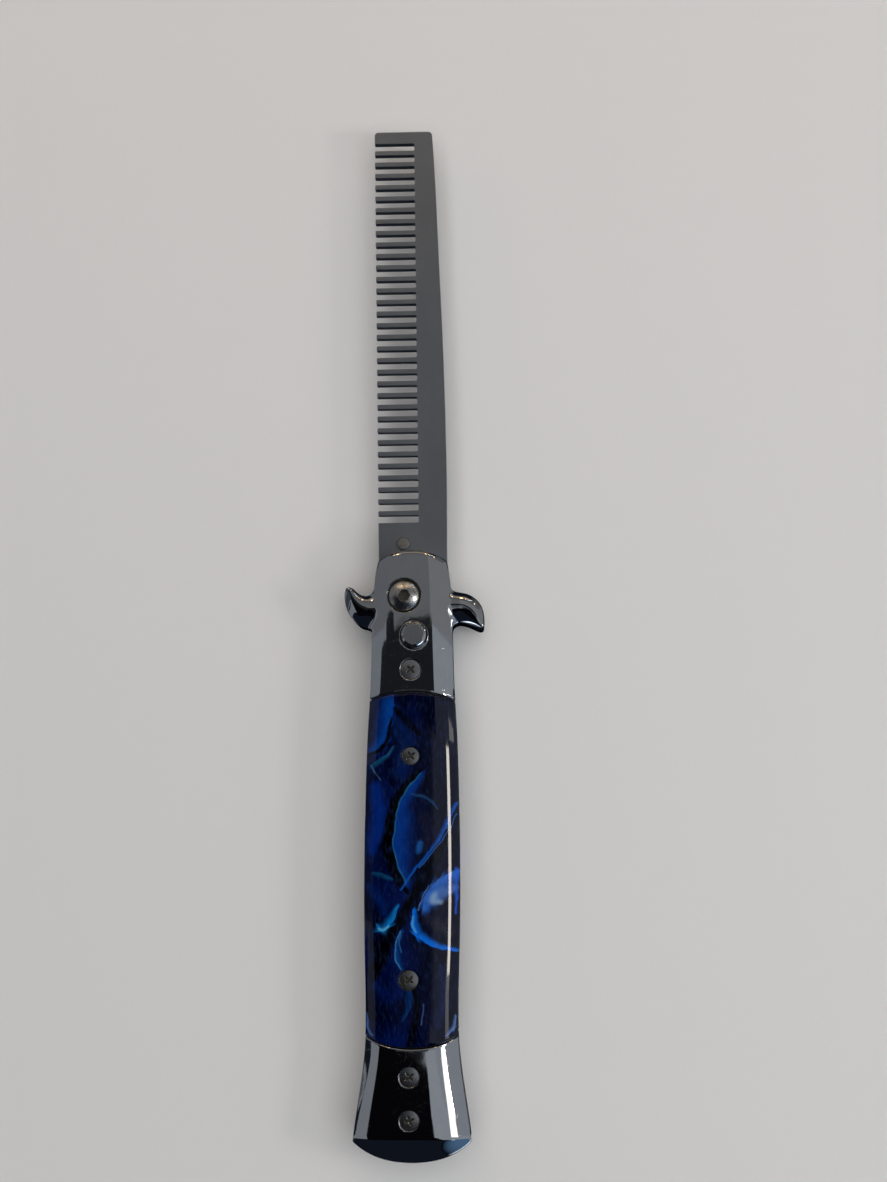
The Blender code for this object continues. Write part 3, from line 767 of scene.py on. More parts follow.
def make_button():
    inner = BUTTON_RADIUS - BUTTON_CHAMFER
    edge_top = BUTTON_TOP - BUTTON_EDGE
    profile = [
        (0.0, BUTTON_TOP),
        (inner - BUTTON_EDGE_WIDTH, BUTTON_TOP),
        (inner, edge_top),
        (BUTTON_RADIUS - 2 * BUTTON_EDGE, edge_top - BUTTON_CHAMFER),
        (BUTTON_RADIUS, edge_top - BUTTON_SIDE_SHARE * BUTTON_CHAMFER),
        (BUTTON_RADIUS, BUTTON_FLANGE_HIGH),
        (BUTTON_FLANGE_RADIUS, BUTTON_FLANGE_HIGH),
        (BUTTON_FLANGE_RADIUS, BUTTON_FLANGE_LOW),
        (0.0, BUTTON_FLANGE_LOW),
    ]
    shell = Shell()
    add_turned(shell, BUTTON_X, BUTTON_Y, profile, sides=96)
    return shell.finished("push_button", sharp_deg=20.0)


def make_nut():
    shoulder = reversed(arc_profile(PIVOT_HEAD_RADIUS, NUT_HIGH, NUT_ROLL))
    profile = [(0.0, NUT_HIGH), (PIVOT_HEAD_RADIUS, NUT_HIGH)]
    profile += [(radius, NUT_HIGH + NUT_LOW - height) for radius, height in shoulder]
    profile += [(NUT_DIMPLE, NUT_LOW), (NUT_DIMPLE - NUT_ROLL, NUT_LOW + NUT_ROLL)]
    profile += [(0.0, NUT_LOW + NUT_ROLL)]
    shell = Shell()
    add_turned(shell, PIVOT_X, PIVOT_Y, profile)
    return shell.finished("pivot_nut_disc", sharp_deg=40.0)


def comb_point(x, y):
    """A point in the comb's own axes as a point of the handle."""
    return (
        PIVOT_X + x * math.cos(LEAN) - y * math.sin(LEAN),
        PIVOT_Y + x * math.sin(LEAN) + y * math.cos(LEAN),
    )


def comb_outline():
    """Outline of the comb: end block, teeth, tang and spine."""
    tip = TIP_RADIUS
    outline = [(TOOTH_TIP_X + CORNER, tip), (TOOTH_TIP_X, tip - CORNER)]
    for i in range(SLOTS):
        upper = tip - END_BLOCK - PITCH * i
        lower = upper - SLOT
        outline += [(TOOTH_TIP_X, upper), (TOOTH_ROOT_X, upper)]
        outline += [(TOOTH_ROOT_X, lower), (TOOTH_TIP_X, lower)]
    for angle in math.pi + np.radians(np.linspace(0, HEEL_SWEEP_DEG, HEEL_POINTS)):
        outline.append((HEEL_RADIUS * math.cos(angle), HEEL_RADIUS * math.sin(angle)))
    spine = np.array(SPINE)[::-1]
    y = np.linspace(spine[0, 0], spine[-1, 0], SPINE_POINTS)
    places, values = smooth_table(SPINE, SPINE_BLUR)
    outline += [(float(np.interp(at, places, values)), float(at)) for at in y]
    outline += [(TIP_CORNER_X + CORNER, tip - CORNER), (TIP_CORNER_X, tip)]
    return rounded(outline, COMB_ROUNDING)


def make_comb():
    """The flat comb with finely broken edges."""
    holes = circle(0.0, 0.0, PIVOT_BORE), circle(PIN_X, PIN_Y, PIN_RADIUS + PIN_FIT)
    curve = bpy.data.curves.new("comb_flat", "CURVE")
    curve.dimensions = "2D"
    curve.fill_mode = "BOTH"
    curve.extrude = ((BLADE_HIGH - BLADE_LOW) / 2 - COMB_EDGE) * MM
    curve.bevel_depth = COMB_EDGE * MM
    curve.bevel_resolution = 1
    curve.offset = -COMB_EDGE * MM
    for loop in (comb_outline(), *holes):
        spline = curve.splines.new("POLY")
        spline.points.add(len(loop) - 1)
        spline.use_cyclic_u = True
        for spot, (x, y) in zip(spline.points, loop):
            spot.co = (*(Vector(comb_point(x, y)) * MM), 0.0, 1.0)
    flat = added("comb_flat", curve)
    bpy.context.view_layer.update()
    mesh = bpy.data.meshes.new_from_object(flat.evaluated_get(bpy.context.evaluated_depsgraph_get()))
    bpy.data.objects.remove(flat, do_unlink=True)
    mesh.transform(Matrix.Translation((0, 0, (BLADE_LOW + BLADE_HIGH) / 2 * MM)))
    work = bmesh.new()
    work.from_mesh(mesh)
    bmesh.ops.remove_doubles(work, verts=work.verts, dist=1e-7)
    bmesh.ops.recalc_face_normals(work, faces=work.faces)
    work.to_mesh(mesh)
    work.free()
    mesh.name = "comb_plate"
    mesh.shade_smooth()
    mesh.set_sharp_from_angle(angle=math.radians(COMB_SHARP_DEG))
    return added("comb_plate", mesh)


def make_pin():
    profile = [(0.0, PIN_HIGH)] + arc_profile(PIN_RADIUS, PIN_HIGH, PIN_ROLL)
    profile += [(PIN_RADIUS, PIN_LOW), (0.0, PIN_LOW)]
    shell = Shell()
    add_turned(shell, *comb_point(PIN_X, PIN_Y), profile, sides=64)
    return shell.finished("tang_pin_disc", sharp_deg=40.0)


class Value:
    """A socket of a material; arithmetic on it adds the nodes that work it out."""

    def __init__(self, shader, socket):
        self.shader = shader
        self.socket = socket

    def __add__(self, other):
        return self.shader.maths("ADD", self, other)

    def __sub__(self, other):
        return self.shader.maths("SUBTRACT", self, other)

    def __mul__(self, other):
        return self.shader.maths("MULTIPLY", self, other)

    def __truediv__(self, other):
        return self.shader.maths("DIVIDE", self, other)

    def __radd__(self, other):
        return self.shader.maths("ADD", other, self)

    def __rsub__(self, other):
        return self.shader.maths("SUBTRACT", other, self)

    def __rmul__(self, other):
        return self.shader.maths("MULTIPLY", other, self)

    def lower(self, other):
        return self.shader.maths("MINIMUM", self, other)

    def higher(self, other):
        return self.shader.maths("MAXIMUM", self, other)

    def dot(self, other):
        return self.shader.maths("DOT_PRODUCT", self, other, output="Value")

    def length(self):
        return self.shader.maths("LENGTH", self, output="Value")

    def clamped(self):
        return self.shader.node("ShaderNodeClamp", {}, {"Value": self})

    def ramp(self, start, end, low=0.0, high=1.0):
        """Eases from low to high as the value goes from start to end."""
        inputs = {"Value": self, "From Min": start, "From Max": end, "To Min": low, "To Max": high}
        settings = {"interpolation_type": "SMOOTHSTEP", "clamp": False}
        return self.shader.node("ShaderNodeMapRange", settings, inputs)


def is_wide(value):
    """Whether a value has several parts, as a vector or a colour has."""
    if isinstance(value, Value):
        return value.socket.type in ("VECTOR", "RGBA")
    return isinstance(value, tuple)


class Shader:
    """The nodes of one material."""

    def __init__(self, name):
        self.material = bpy.data.materials.new(name)
        self.material.use_nodes = True
        self.tree = self.material.node_tree
        self.tree.nodes.clear()

    def node(self, kind, settings, inputs, output=0):
        """A node with its settings, then its socket values or links; gives one of its outputs."""
        made = self.tree.nodes.new(kind)
        for key, value in settings.items():
            setattr(made, key, value)
        for key, value in inputs.items():
            socket = made.inputs[key]
            if isinstance(value, Value):
                self.tree.links.new(value.socket, socket)
            elif isinstance(value, (int, float)) and socket.type in ("VECTOR", "RGBA"):
                socket.default_value = (value,) * len(socket.default_value)
            else:
                socket.default_value = value
        return Value(self, made.outputs[output]) if made.outputs else None

    def maths(self, operation, *values, output=0):
        """Maths on sockets, numbers and triples; a vector times a number is scaled."""
        wide = [is_wide(value) for value in values]
        inputs = dict(enumerate(values))
        if not any(wide):
            return self.node("ShaderNodeMath", {"operation": operation}, inputs)
        if operation == "MULTIPLY" and not all(wide):
            operation = "SCALE"
            vector, number = values if wide[0] else reversed(values)
            inputs = {0: vector, "Scale": number}
        return self.node("ShaderNodeVectorMath", {"operation": operation}, inputs, output)

    def place(self):
        """Where the point is, in millimetres."""
        return self.node("ShaderNodeTexCoord", {}, {}, "Object") * (1 / MM)

    def noise(self, place, size, detail, rough=0.5, stretch=(1.0, 1.0, 1.0), colour=False):
        """Soft noise with features of a size in millimetres, about 0.5."""
        spread = place * tuple(1 / (size * s) for s in stretch)
        inputs = {"Vector": spread, "Scale": 1.0, "Detail": detail, "Roughness": rough}
        return self.node("ShaderNodeTexNoise", {}, inputs, "Color" if colour else "Fac")

    def specks(self, place, spacing, radius):
        """Small round specks: 1 in their middle, 0 outside."""
        inputs = {"Vector": place, "Scale": 1 / spacing, "Randomness": 1.0}
        apart = self.node("ShaderNodeTexVoronoi", {"feature": "F1"}, inputs, "Distance") * spacing
        return apart.ramp(radius, radius * 0.4)

    def scratches(self, place, turn_deg, spacing, length):
        """Hairline scratches in one direction."""
        turn = math.radians(turn_deg)
        along = place.dot((math.sin(turn), math.cos(turn), 0.0))
        across = place.dot((math.cos(turn), -math.sin(turn), 0.0))
        inputs = {"X": across / spacing, "Y": along / length, "Z": 0.37 * turn_deg}
        stretched = self.node("ShaderNodeCombineXYZ", {}, inputs)
        lines = {"Vector": stretched, "Scale": 1.0, "Detail": 3.0, "Roughness": 0.75}
        return self.node("ShaderNodeTexNoise", {}, lines, "Fac").ramp(0.66, 0.74)

    def mix(self, factor, first, second):
        """The first colour where the factor is 0, the second where it is 1."""
        inputs = {"Factor": factor, 6: four(first), 7: four(second)}
        return self.node("ShaderNodeMix", {"data_type": "RGBA"}, inputs, 2)

    def bump(self, height, depth, under=None):
        """Normals of a relief whose height is given as a share of the depth in millimetres."""
        inputs = {"Height": height, "Distance": depth * MM, "Strength": 1.0}
        if under is not None:
            inputs["Normal"] = under
        return self.node("ShaderNodeBump", {}, inputs)

    def surfaced(self, kind, inputs):
        """The material with a surface of a kind."""
        self.node("ShaderNodeOutputMaterial", {}, {"Surface": self.node(kind, {}, inputs)})
        return self.material

    def finished(self, **inputs):
        """The material with its surface made from the named inputs."""
        named = {key.replace("_", " "): value for key, value in inputs.items()}
        return self.surfaced("ShaderNodeBsdfPrincipled", named)

    def metal(self, colour, roughness, normal):
        return self.finished(Base_Color=colour, Metallic=1.0, Roughness=roughness, Normal=normal)


def four(colour):
    return (*colour, 1.0) if isinstance(colour, tuple) and len(colour) == 3 else colour


def paint(red, green, blue):
    """A colour named by its screen values from 0 to 255, as light."""
    return tuple((value / 255) ** 2.2 for value in (red, green, blue))


def satin_above(place, height):
    """Extra roughness of the ground face that lies above a height, such as the button's top."""
    return place.dot((0.0, 0.0, 1.0)).ramp(height - 0.03, height, 0.0, 0.22)


def chrome_plate(name, satin_from=2 * THICKNESS):
    """Polished plate on a casting: faint waves, hairlines and dust."""
    shader = Shader(name)
    place = shader.place()
    waves = shader.noise(place, 5.0, 1.0)
    dimples = shader.noise(place, 1.1, 2.0)
    hairlines = shader.scratches(place, 24, 0.12, 5.0).higher(shader.scratches(place, 71, 0.1, 4.0))
    dust = shader.specks(place, 1.6, 0.07)
    clouds = shader.noise(place, 3.0, 4.0, 0.6)
    colour = shader.mix(clouds, (0.70, 0.71, 0.735), (0.80, 0.81, 0.83))
    colour = shader.mix(dust * 0.5, colour, (0.30, 0.29, 0.27))
    roughness = 0.028 + clouds.ramp(0.35, 0.75) * 0.022 + hairlines * 0.10
    roughness = roughness + satin_above(place, satin_from)
    normal = shader.bump(waves, 0.009)
    normal = shader.bump(dimples, 0.0006, normal)
    normal = shader.bump(hairlines, 0.0012, normal)
    return shader.metal(colour, roughness, normal)


def satin_comb_steel():
    """Ground and tumbled steel: fine grain across the comb, scratches and bright specks."""
    shader = Shader("satin_comb_steel")
    place = shader.place()
    grain = shader.noise(place, 0.10, 3.0, 0.7, (1.0, 6.0, 1.0))
    clouds = shader.noise(place, 6.0, 4.0, 0.6, (1.0, 2.0, 1.0))
    rubs = shader.scratches(place, 4, 0.16, 7.0)
    crossing = shader.scratches(place, 62, 0.14, 4.0)
    specks = shader.specks(place, 2.4, 0.10)
    colour = shader.mix(clouds, (0.345, 0.385, 0.44), (0.45, 0.50, 0.57))
    colour = shader.mix(grain.ramp(0.3, 0.7) * 0.25, colour, (0.50, 0.52, 0.56))
    colour = shader.mix(rubs * 0.4, colour, (0.60, 0.62, 0.66))
    colour = shader.mix(crossing * 0.2, colour, (0.25, 0.26, 0.28))
    colour = shader.mix(specks * 0.5, colour, (0.85, 0.85, 0.86))
    roughness = 0.44 + clouds * 0.06 - rubs * 0.10
    normal = shader.bump(grain, 0.0025)
    normal = shader.bump(rubs + crossing, 0.002, normal)
    return shader.metal(colour, roughness, normal)


def screw_steel(name, dull):
    """Screws: worn polished steel, a little cloudy."""
    shader = Shader(name)
    place = shader.place()
    clouds = shader.noise(place, 0.9, 3.0, 0.6)
    rubs = shader.scratches(place, 40, 0.08, 1.6)
    colour = shader.mix(clouds, (0.58, 0.575, 0.57), (0.72, 0.715, 0.71))
    roughness = dull + clouds * 0.08 + rubs * 0.10
    normal = shader.bump(clouds, 0.0008)
    return shader.metal(colour, roughness, normal)


def liner_strip_steel():
    """Rolled strip: brushed along its length, a little stained."""
    shader = Shader("liner_strip_steel")
    place = shader.place()
    grain = shader.noise(place, 0.09, 2.0, 0.6, (1.0, 60.0, 1.0))
    stains = shader.noise(place, 7.0, 4.0, 0.6)
    colour = shader.mix(stains, (0.36, 0.35, 0.335), (0.50, 0.49, 0.47))
    colour = shader.mix(grain.ramp(0.35, 0.7) * 0.3, colour, (0.60, 0.59, 0.57))
    roughness = 0.30 + grain * 0.15
    normal = shader.bump(grain, 0.003)
    return shader.metal(colour, roughness, normal)


def recess_steel_painted_shade():
    """Walls and floors of holes: unpolished steel, darkened with painted shade and some dirt."""
    shader = Shader("recess_steel_painted_shade")
    shade_and_dirt = shader.noise(shader.place(), 0.4, 3.0, 0.6)
    # Painted shade: a near-black colour, varied by a little dirt, stands in for the shade inside holes
    colour = shader.mix(shade_and_dirt, (0.08, 0.075, 0.06), (0.30, 0.28, 0.22))
    return shader.finished(Base_Color=colour, Metallic=0.9, Roughness=0.28 + shade_and_dirt * 0.2)


def pin_steel():
    """Pin: worn olive-grey end."""
    shader = Shader("pin_steel")
    place = shader.place()
    worn = shader.noise(place, 0.5, 3.0, 0.6)
    colour = shader.mix(worn, (0.40, 0.395, 0.37), (0.66, 0.65, 0.62))
    roughness = 0.36 + worn * 0.15
    normal = shader.bump(worn, 0.006)
    return shader.metal(colour, roughness, normal)


# Marbling of the acrylic: folds of colour drawn on a chart of the front scale, each with its
# colour on screen, its strength, and rows of x and y on the chart and reach to the left and to the
# right of its path in mm; the chart has about 20 units to a mm and its y runs down
# Two of the rows, the pale lower corners, are painted reflections on the rounded ends of the scale, not
# marbling
CHART_UNITS = (19.7, -19.975)
CHART_CORNER = (-16.125, -12.207)
FOLDS_AND_PAINTED_REFLECTIONS = (
    # navy mist round the upper screw
    ((4, 28, 68), 0.75, ((250, 140, 3.0, 3.0), (300, 250, 3.4, 3.4), (270, 380, 2.6, 2.6))),
    # blue cloud at the upper left
    ((8, 52, 118), 1.25, (
        (238, 95, 0.5, 3.4), (234, 160, 0.5, 4.2), (222, 215, 0.45, 4.4), (195, 268, 0.4, 3.4),
        (150, 300, 0.4, 2.0),
    )),
    # black vein beside it
    ((2, 2, 8), 1.9, (
        (236, 150, 0.35, 0.5), (226, 205, 0.5, 0.7), (208, 255, 0.55, 0.8), (178, 292, 0.5, 0.7),
        (135, 306, 0.4, 0.6),
    )),
    # black lens at the top
    ((3, 3, 14), 1.7, ((250, 110, 0.9, 1.0), (300, 170, 1.3, 1.3), (350, 215, 0.8, 0.8))),
    # teal crease
    ((22, 72, 104), 0.8, (
        (238, 268, 0.5, 0.3), (215, 302, 0.9, 0.35), (185, 328, 1.3, 0.4), (148, 352, 1.2, 0.3),
    )),
    # fine line under the crease
    ((70, 116, 150), 0.7, ((147, 352, 0.18, 0.35), (163, 380, 0.16, 0.4), (186, 412, 0.12, 0.3))),
    # dark fold left of the screw
    ((2, 8, 32), 0.8, ((170, 390, 1.2, 1.4), (215, 400, 1.4, 1.4), (262, 420, 1.0, 1.0))),
    # left blue
    ((2, 34, 96), 1.4, (
        (165, 440, 1.8, 1.8), (180, 520, 2.8, 2.6), (172, 610, 2.6, 2.6), (155, 700, 2.0, 2.0),
    )),
    # cell
    ((4, 44, 108), 1.25, (
        (352, 384, 1.6, 0.2), (302, 442, 2.6, 0.2), (266, 508, 3.6, 0.2), (247, 590, 5.2, 0.2),
        (243, 680, 5.4, 0.2), (256, 760, 4.2, 0.2), (290, 832, 2.0, 0.2),
    )),
    # dark field right of the cell
    ((19, 20, 36), 1.3, ((370, 560, 1.6, 2.2), (392, 620, 1.8, 2.4), (380, 700, 1.0, 1.2))),
    # bright spot in the cell
    ((30, 82, 150), 0.7, ((352, 668, 1.0, 1.0), (346, 700, 1.1, 1.1))),
    # black crescent
    ((1, 1, 5), 4.5, (
        (356, 372, 0.15, 0.6), (303, 434, 0.2, 1.3), (262, 502, 0.25, 2.0), (241, 588, 0.25, 2.5),
        (237, 680, 0.25, 2.5), (250, 764, 0.25, 2.2), (284, 836, 0.25, 1.5), (300, 868, 0.3, 1.0),
    )),
    # teal rim of the crescent
    ((34, 88, 104), 0.75, (
        (352, 384, 0.35, 0.12), (302, 442, 0.38, 0.12), (266, 508, 0.36, 0.12), (247, 590, 0.34, 0.12),
        (243, 680, 0.34, 0.12), (256, 760, 0.36, 0.12), (290, 832, 0.6, 0.15),
    )),
    # hazy comb of light
    ((30, 70, 112), 0.5, (
        (318, 470, 0.5, 0.3), (360, 482, 0.7, 0.3), (400, 504, 0.5, 0.25), (424, 530, 0.3, 0.2),
    )),
    # swoosh
    ((16, 74, 160), 0.9, (
        (508, 508, 0.25, 0.9), (478, 574, 0.2, 1.1), (440, 640, 0.18, 0.9), (396, 704, 0.18, 0.7),
        (345, 768, 0.2, 0.55), (296, 828, 0.3, 0.6), (272, 866, 0.3, 0.4),
    )),
    # second thread of the swoosh
    ((40, 96, 170), 0.6, (
        (505, 556, 0.14, 0.3), (462, 628, 0.12, 0.3), (410, 700, 0.12, 0.3), (350, 774, 0.12, 0.35),
    )),
    # black band
    ((5, 5, 11), 1.9, (
        (505, 640, 1.0, 1.0), (448, 690, 1.2, 1.2), (395, 765, 1.5, 1.4), (352, 842, 1.4, 1.5),
        (312, 915, 1.4, 1.4), (275, 990, 1.6, 1.6), (228, 1050, 2.2, 2.0), (190, 1120, 2.6, 2.4),
        (170, 1200, 2.2, 2.0),
    )),
    # smudge at the left
    ((18, 66, 98), 0.7, ((166, 794, 0.5, 0.9), (198, 798, 0.5, 1.1), (236, 816, 0.4, 0.7))),
    # left blue below the smudge
    ((3, 30, 78), 0.7, ((150, 850, 1.2, 1.6), (190, 905, 1.4, 1.8), (205, 960, 1.0, 1.0))),
    # lobe
    ((44, 92, 176), 0.95, (
        (510, 786, 2.4, 0.2), (458, 806, 3.4, 0.2), (412, 838, 4.2, 0.2), (380, 880, 4.2, 0.2),
        (364, 930, 2.4, 0.2),
    )),
    # heart of the lobe
    ((70, 104, 168), 0.8, ((495, 853, 1.3, 1.3), (440, 883, 2.0, 2.0), (400, 905, 1.6, 1.6))),
    # pale spot of the lobe
    ((112, 142, 168), 0.8, ((412, 880, 1.1, 1.1), (404, 906, 1.3, 1.3), (436, 912, 0.9, 0.9))),
    # grey field under the lobe
    ((34, 34, 44), 0.75, ((380, 975, 1.6, 1.6), (430, 1010, 2.2, 2.2), (480, 1040, 1.4, 1.4))),
    # thread left of the lobe
    ((80, 112, 156), 0.7, ((386, 846, 0.14, 0.2), (362, 900, 0.12, 0.2), (346, 944, 0.12, 0.25))),
    # blue at the right edge
    ((24, 78, 190), 0.8, ((503, 780, 0.5, 0.6), (500, 880, 0.5, 0.5), (500, 960, 0.3, 0.4))),
    # flame
    ((8, 92, 190), 1.2, (
        (326, 946, 0.9, 0.2), (319, 1000, 1.8, 0.25), (334, 1052, 2.0, 0.3), (374, 1082, 1.7, 0.35),
        (432, 1098, 1.2, 0.35), (508, 1112, 0.7, 0.3),
    )),
    # flame tip
    ((74, 146, 182), 0.8, ((322, 975, 0.5, 0.15), (322, 1010, 0.6, 0.15), (334, 1036, 0.4, 0.15))),
    # patch at the left
    ((16, 100, 168), 0.95, (
        (268, 930, 0.25, 0.6), (252, 976, 0.25, 1.7), (222, 1018, 0.25, 2.2), (192, 1028, 0.25, 1.8),
        (172, 1006, 0.2, 0.8),
    )),
    # bright rim of the patch
    ((82, 160, 192), 0.85, ((224, 1012, 0.2, 0.5), (204, 1026, 0.2, 0.8), (182, 1020, 0.2, 0.6))),
    # curl
    ((10, 56, 110), 0.85, (
        (276, 1030, 1.0, 0.2), (254, 1078, 1.5, 0.2), (246, 1120, 1.7, 0.2), (252, 1156, 1.4, 0.2),
        (274, 1188, 0.8, 0.2),
    )),
    # curl rim
    ((58, 114, 164), 0.75, (
        (276, 1030, 0.3, 0.12), (254, 1078, 0.32, 0.12), (246, 1120, 0.32, 0.12),
        (252, 1156, 0.3, 0.12), (274, 1188, 0.25, 0.12),
    )),
    # inner thread of the curl
    ((50, 100, 150), 0.6, ((278, 1036, 0.12, 0.3), (270, 1080, 0.12, 0.3), (276, 1120, 0.1, 0.25))),
    # dim blue below the lower screw
    ((3, 22, 66), 0.8, ((175, 1262, 1.8, 1.8), (225, 1300, 2.4, 2.4), (270, 1290, 1.8, 1.8))),
    # blue left of the lower lens
    ((6, 44, 92), 0.75, (
        (312, 1250, 0.3, 1.3), (322, 1290, 0.3, 2.0), (308, 1340, 0.3, 1.6), (286, 1390, 0.3, 1.0),
    )),
    # lower black lens
    ((3, 2, 10), 1.7, (
        (322, 1270, 0.6, 0.4), (338, 1330, 1.2, 0.6), (330, 1410, 1.6, 0.8), (312, 1490, 1.6, 1.0),
    )),
    # thread of the lower right
    ((60, 84, 140), 0.6, ((368, 1328, 0.12, 0.4), (365, 1370, 0.12, 0.5), (360, 1412, 0.1, 0.3))),
    # streak of the lower right
    ((24, 32, 66), 0.6, ((440, 1180, 1.0, 1.4), (450, 1300, 1.2, 1.8), (430, 1420, 1.0, 1.4))),
    # pale lower left corner: painted reflection on the rounded end of the scale
    ((70, 104, 168), 0.7, ((128, 1370, 0.5, 0.1), (132, 1420, 0.9, 0.1), (150, 1452, 0.5, 0.1))),
    # pale lower right corner: painted reflection on the rounded end of the scale
    ((86, 116, 176), 0.75, ((500, 1380, 0.1, 0.6), (494, 1430, 0.1, 1.0), (462, 1458, 0.1, 0.6))),
)
FOLD_WARP = 1.6
FOLD_FINE_WARP = 0.4
FOLD_CREASE = 0.12
LIGHT_LEVEL = 0.72


def fold_mask(spot, rows):
    """1 on the line of a fold, easing to 0 over its reach on either side."""
    nearest = None
    (units_x, units_y), (corner_x, corner_y) = CHART_UNITS, CHART_CORNER
    rows = [(x / units_x + corner_x, y / units_y + corner_y, left, right) for x, y, left, right in rows]
    for (x0, y0, left_0, right_0), (x1, y1, left_1, right_1) in zip(rows, rows[1:]):
        run = (x1 - x0, y1 - y0, 0.0)
        length = math.hypot(*run[:2])
        gap = spot - (x0, y0, 0.0)
        share = gap.dot((run[0] / length**2, run[1] / length**2, 0.0)).clamped()
        side = gap.dot((-run[1] / length, run[0] / length, 0.0)).ramp(-FOLD_CREASE, FOLD_CREASE)
        left = left_0 + share * (left_1 - left_0)
        right = right_0 + share * (right_1 - right_0)
        apart = (gap - run * share).length() / (right + side * (left - right))
        nearest = apart if nearest is None else nearest.lower(apart)
    return nearest.ramp(1.0, 0.0)


def marbled_acrylic():
    """Polished acrylic: navy base with pearly grain, blue clouds, black veins and bright threads, plus
    painted reflections at its pale lower corners.
    """
    shader = Shader("marbled_acrylic")
    place = shader.place()
    spot = place * (1.0, 1.0, 0.0) - (AXIS_X, 0.0, 0.0)
    turned = spot * (1.0, -1.0, 1.0) + (0.0, SEAMS["bolster_scale"][0] + SEAMS["scale_pommel"][0], 0.0)
    front = place.dot((0.0, 0.0, 1.0)).ramp(0.49 * THICKNESS, 0.51 * THICKNESS)
    spot = turned + (spot - turned) * front
    wide = shader.noise(spot, 5.5, 2.0, colour=True) - 0.5
    fine = shader.noise(spot, 1.3, 3.0, colour=True) - 0.5
    bent = spot + (wide * FOLD_WARP + fine * FOLD_FINE_WARP) * (1.0, 1.0, 0.0)
    clouds = shader.noise(bent, 7.0, 3.0, 0.55, (0.8, 1.5, 1.0))
    grain = shader.noise(bent, 0.5, 3.0, 0.6, (1.0, 4.0, 1.0))
    fading = shader.noise(bent, 2.6, 2.0, 0.5)
    feather = grain.ramp(0.25, 0.65, 0.78, 1.0) * fading.ramp(0.3, 0.55, 0.75, 1.0)
    navy = shader.mix(spot.dot((1.0, 0.0, 0.0)).ramp(-3.0, 4.5), paint(7, 22, 66), paint(10, 13, 36))
    colour = shader.mix(clouds.ramp(0.35, 0.65), paint(4, 7, 28), navy)
    # Marbling folds, and the painted reflections at the scale's pale lower corners
    for screen, strength, rows in FOLDS_AND_PAINTED_REFLECTIONS:
        colour = shader.mix(fold_mask(bent, rows) * feather * strength, colour, lit(screen))
    sheen = grain.ramp(0.45, 0.8) * 0.12
    colour = shader.mix(sheen, colour, paint(60, 90, 150))
    hairlines = shader.scratches(place, 9, 0.15, 8.0)
    normal = shader.bump(shader.noise(place, 6.0, 1.0), 0.02)
    normal = shader.bump(hairlines, 0.001, normal)
    coat = {"Coat_Weight": 0.35, "Coat_Roughness": 0.02}
    return shader.finished(Base_Color=colour, Roughness=0.045 + hairlines * 0.1, Normal=normal, **coat)


def lit(screen):
    """Base colour that shows as a screen colour under the scene's soft light."""
    return tuple(min(1.0, value / LIGHT_LEVEL) for value in paint(*screen))


CHROME = chrome_plate("chrome_plate")
BUTTON_CHROME = chrome_plate("button_chrome", BUTTON_TOP)
ACRYLIC = marbled_acrylic()
COMB_STEEL = satin_comb_steel()
SCREW_STEEL = screw_steel("screw_steel", 0.23)
PIVOT_STEEL = screw_steel("pivot_steel", 0.24)
LINER_STEEL = liner_strip_steel()
PIN_STEEL = pin_steel()
RECESS_PAINTED_SHADE_STEEL = recess_steel_painted_shade()


def dress(piece, node, material, body="handle"):
    """A finished piece takes the place of a node of the frame."""
    piece.data.materials.append(material)
    # Hole walls and floors take the steel that carries painted shade
    if any(face.material_index for face in piece.data.polygons):
        piece.data.materials.append(RECESS_PAINTED_SHADE_STEEL)
    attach(piece, body)
    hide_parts(node)


dress(make_comb(), "comb_blade", COMB_STEEL, "comb")
dress(make_pin(), "tang_pin", PIN_STEEL, "comb")
dress(make_button(), "lock_button", BUTTON_CHROME, "button")
dress(make_pivot_screw(), "pivot_screw", PIVOT_STEEL)
dress(make_nut(), "pivot_nut", SCREW_STEEL)
for face in ("front", "back"):
    dress(make_bolster(face), "bolster_" + face, CHROME)
    dress(make_scale(face), "scale_" + face, ACRYLIC)
    dress(make_pommel(face), "pommel_" + face, CHROME)
    for name in SCREWS:
        dress(make_screw(name, face), name + "_" + face, SCREW_STEEL)
for node in ("liner_front", "liner_back", "back_spacer", "end_spacer"):
    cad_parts[node].data.materials.clear()
    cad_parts[node].data.materials.append(LINER_STEEL)

# Camera of the photo: above the comb and a little below its middle, tilted towards its tip
CAMERA_PLACE = (12.88, -32.67, 361.0)
CAMERA_TURN_DEG = (6.567, 1.092, -0.051)
camera_data = bpy.data.cameras.new("camera")
camera_data.lens = 50
camera_data.sensor_width = 36
camera_data.clip_start = 0.01
camera = added("camera", camera_data)
camera.location = Vector(CAMERA_PLACE) * MM
camera.rotation_euler = Euler([math.radians(angle) for angle in CAMERA_TURN_DEG], "XYZ")
bpy.context.scene.camera = camera

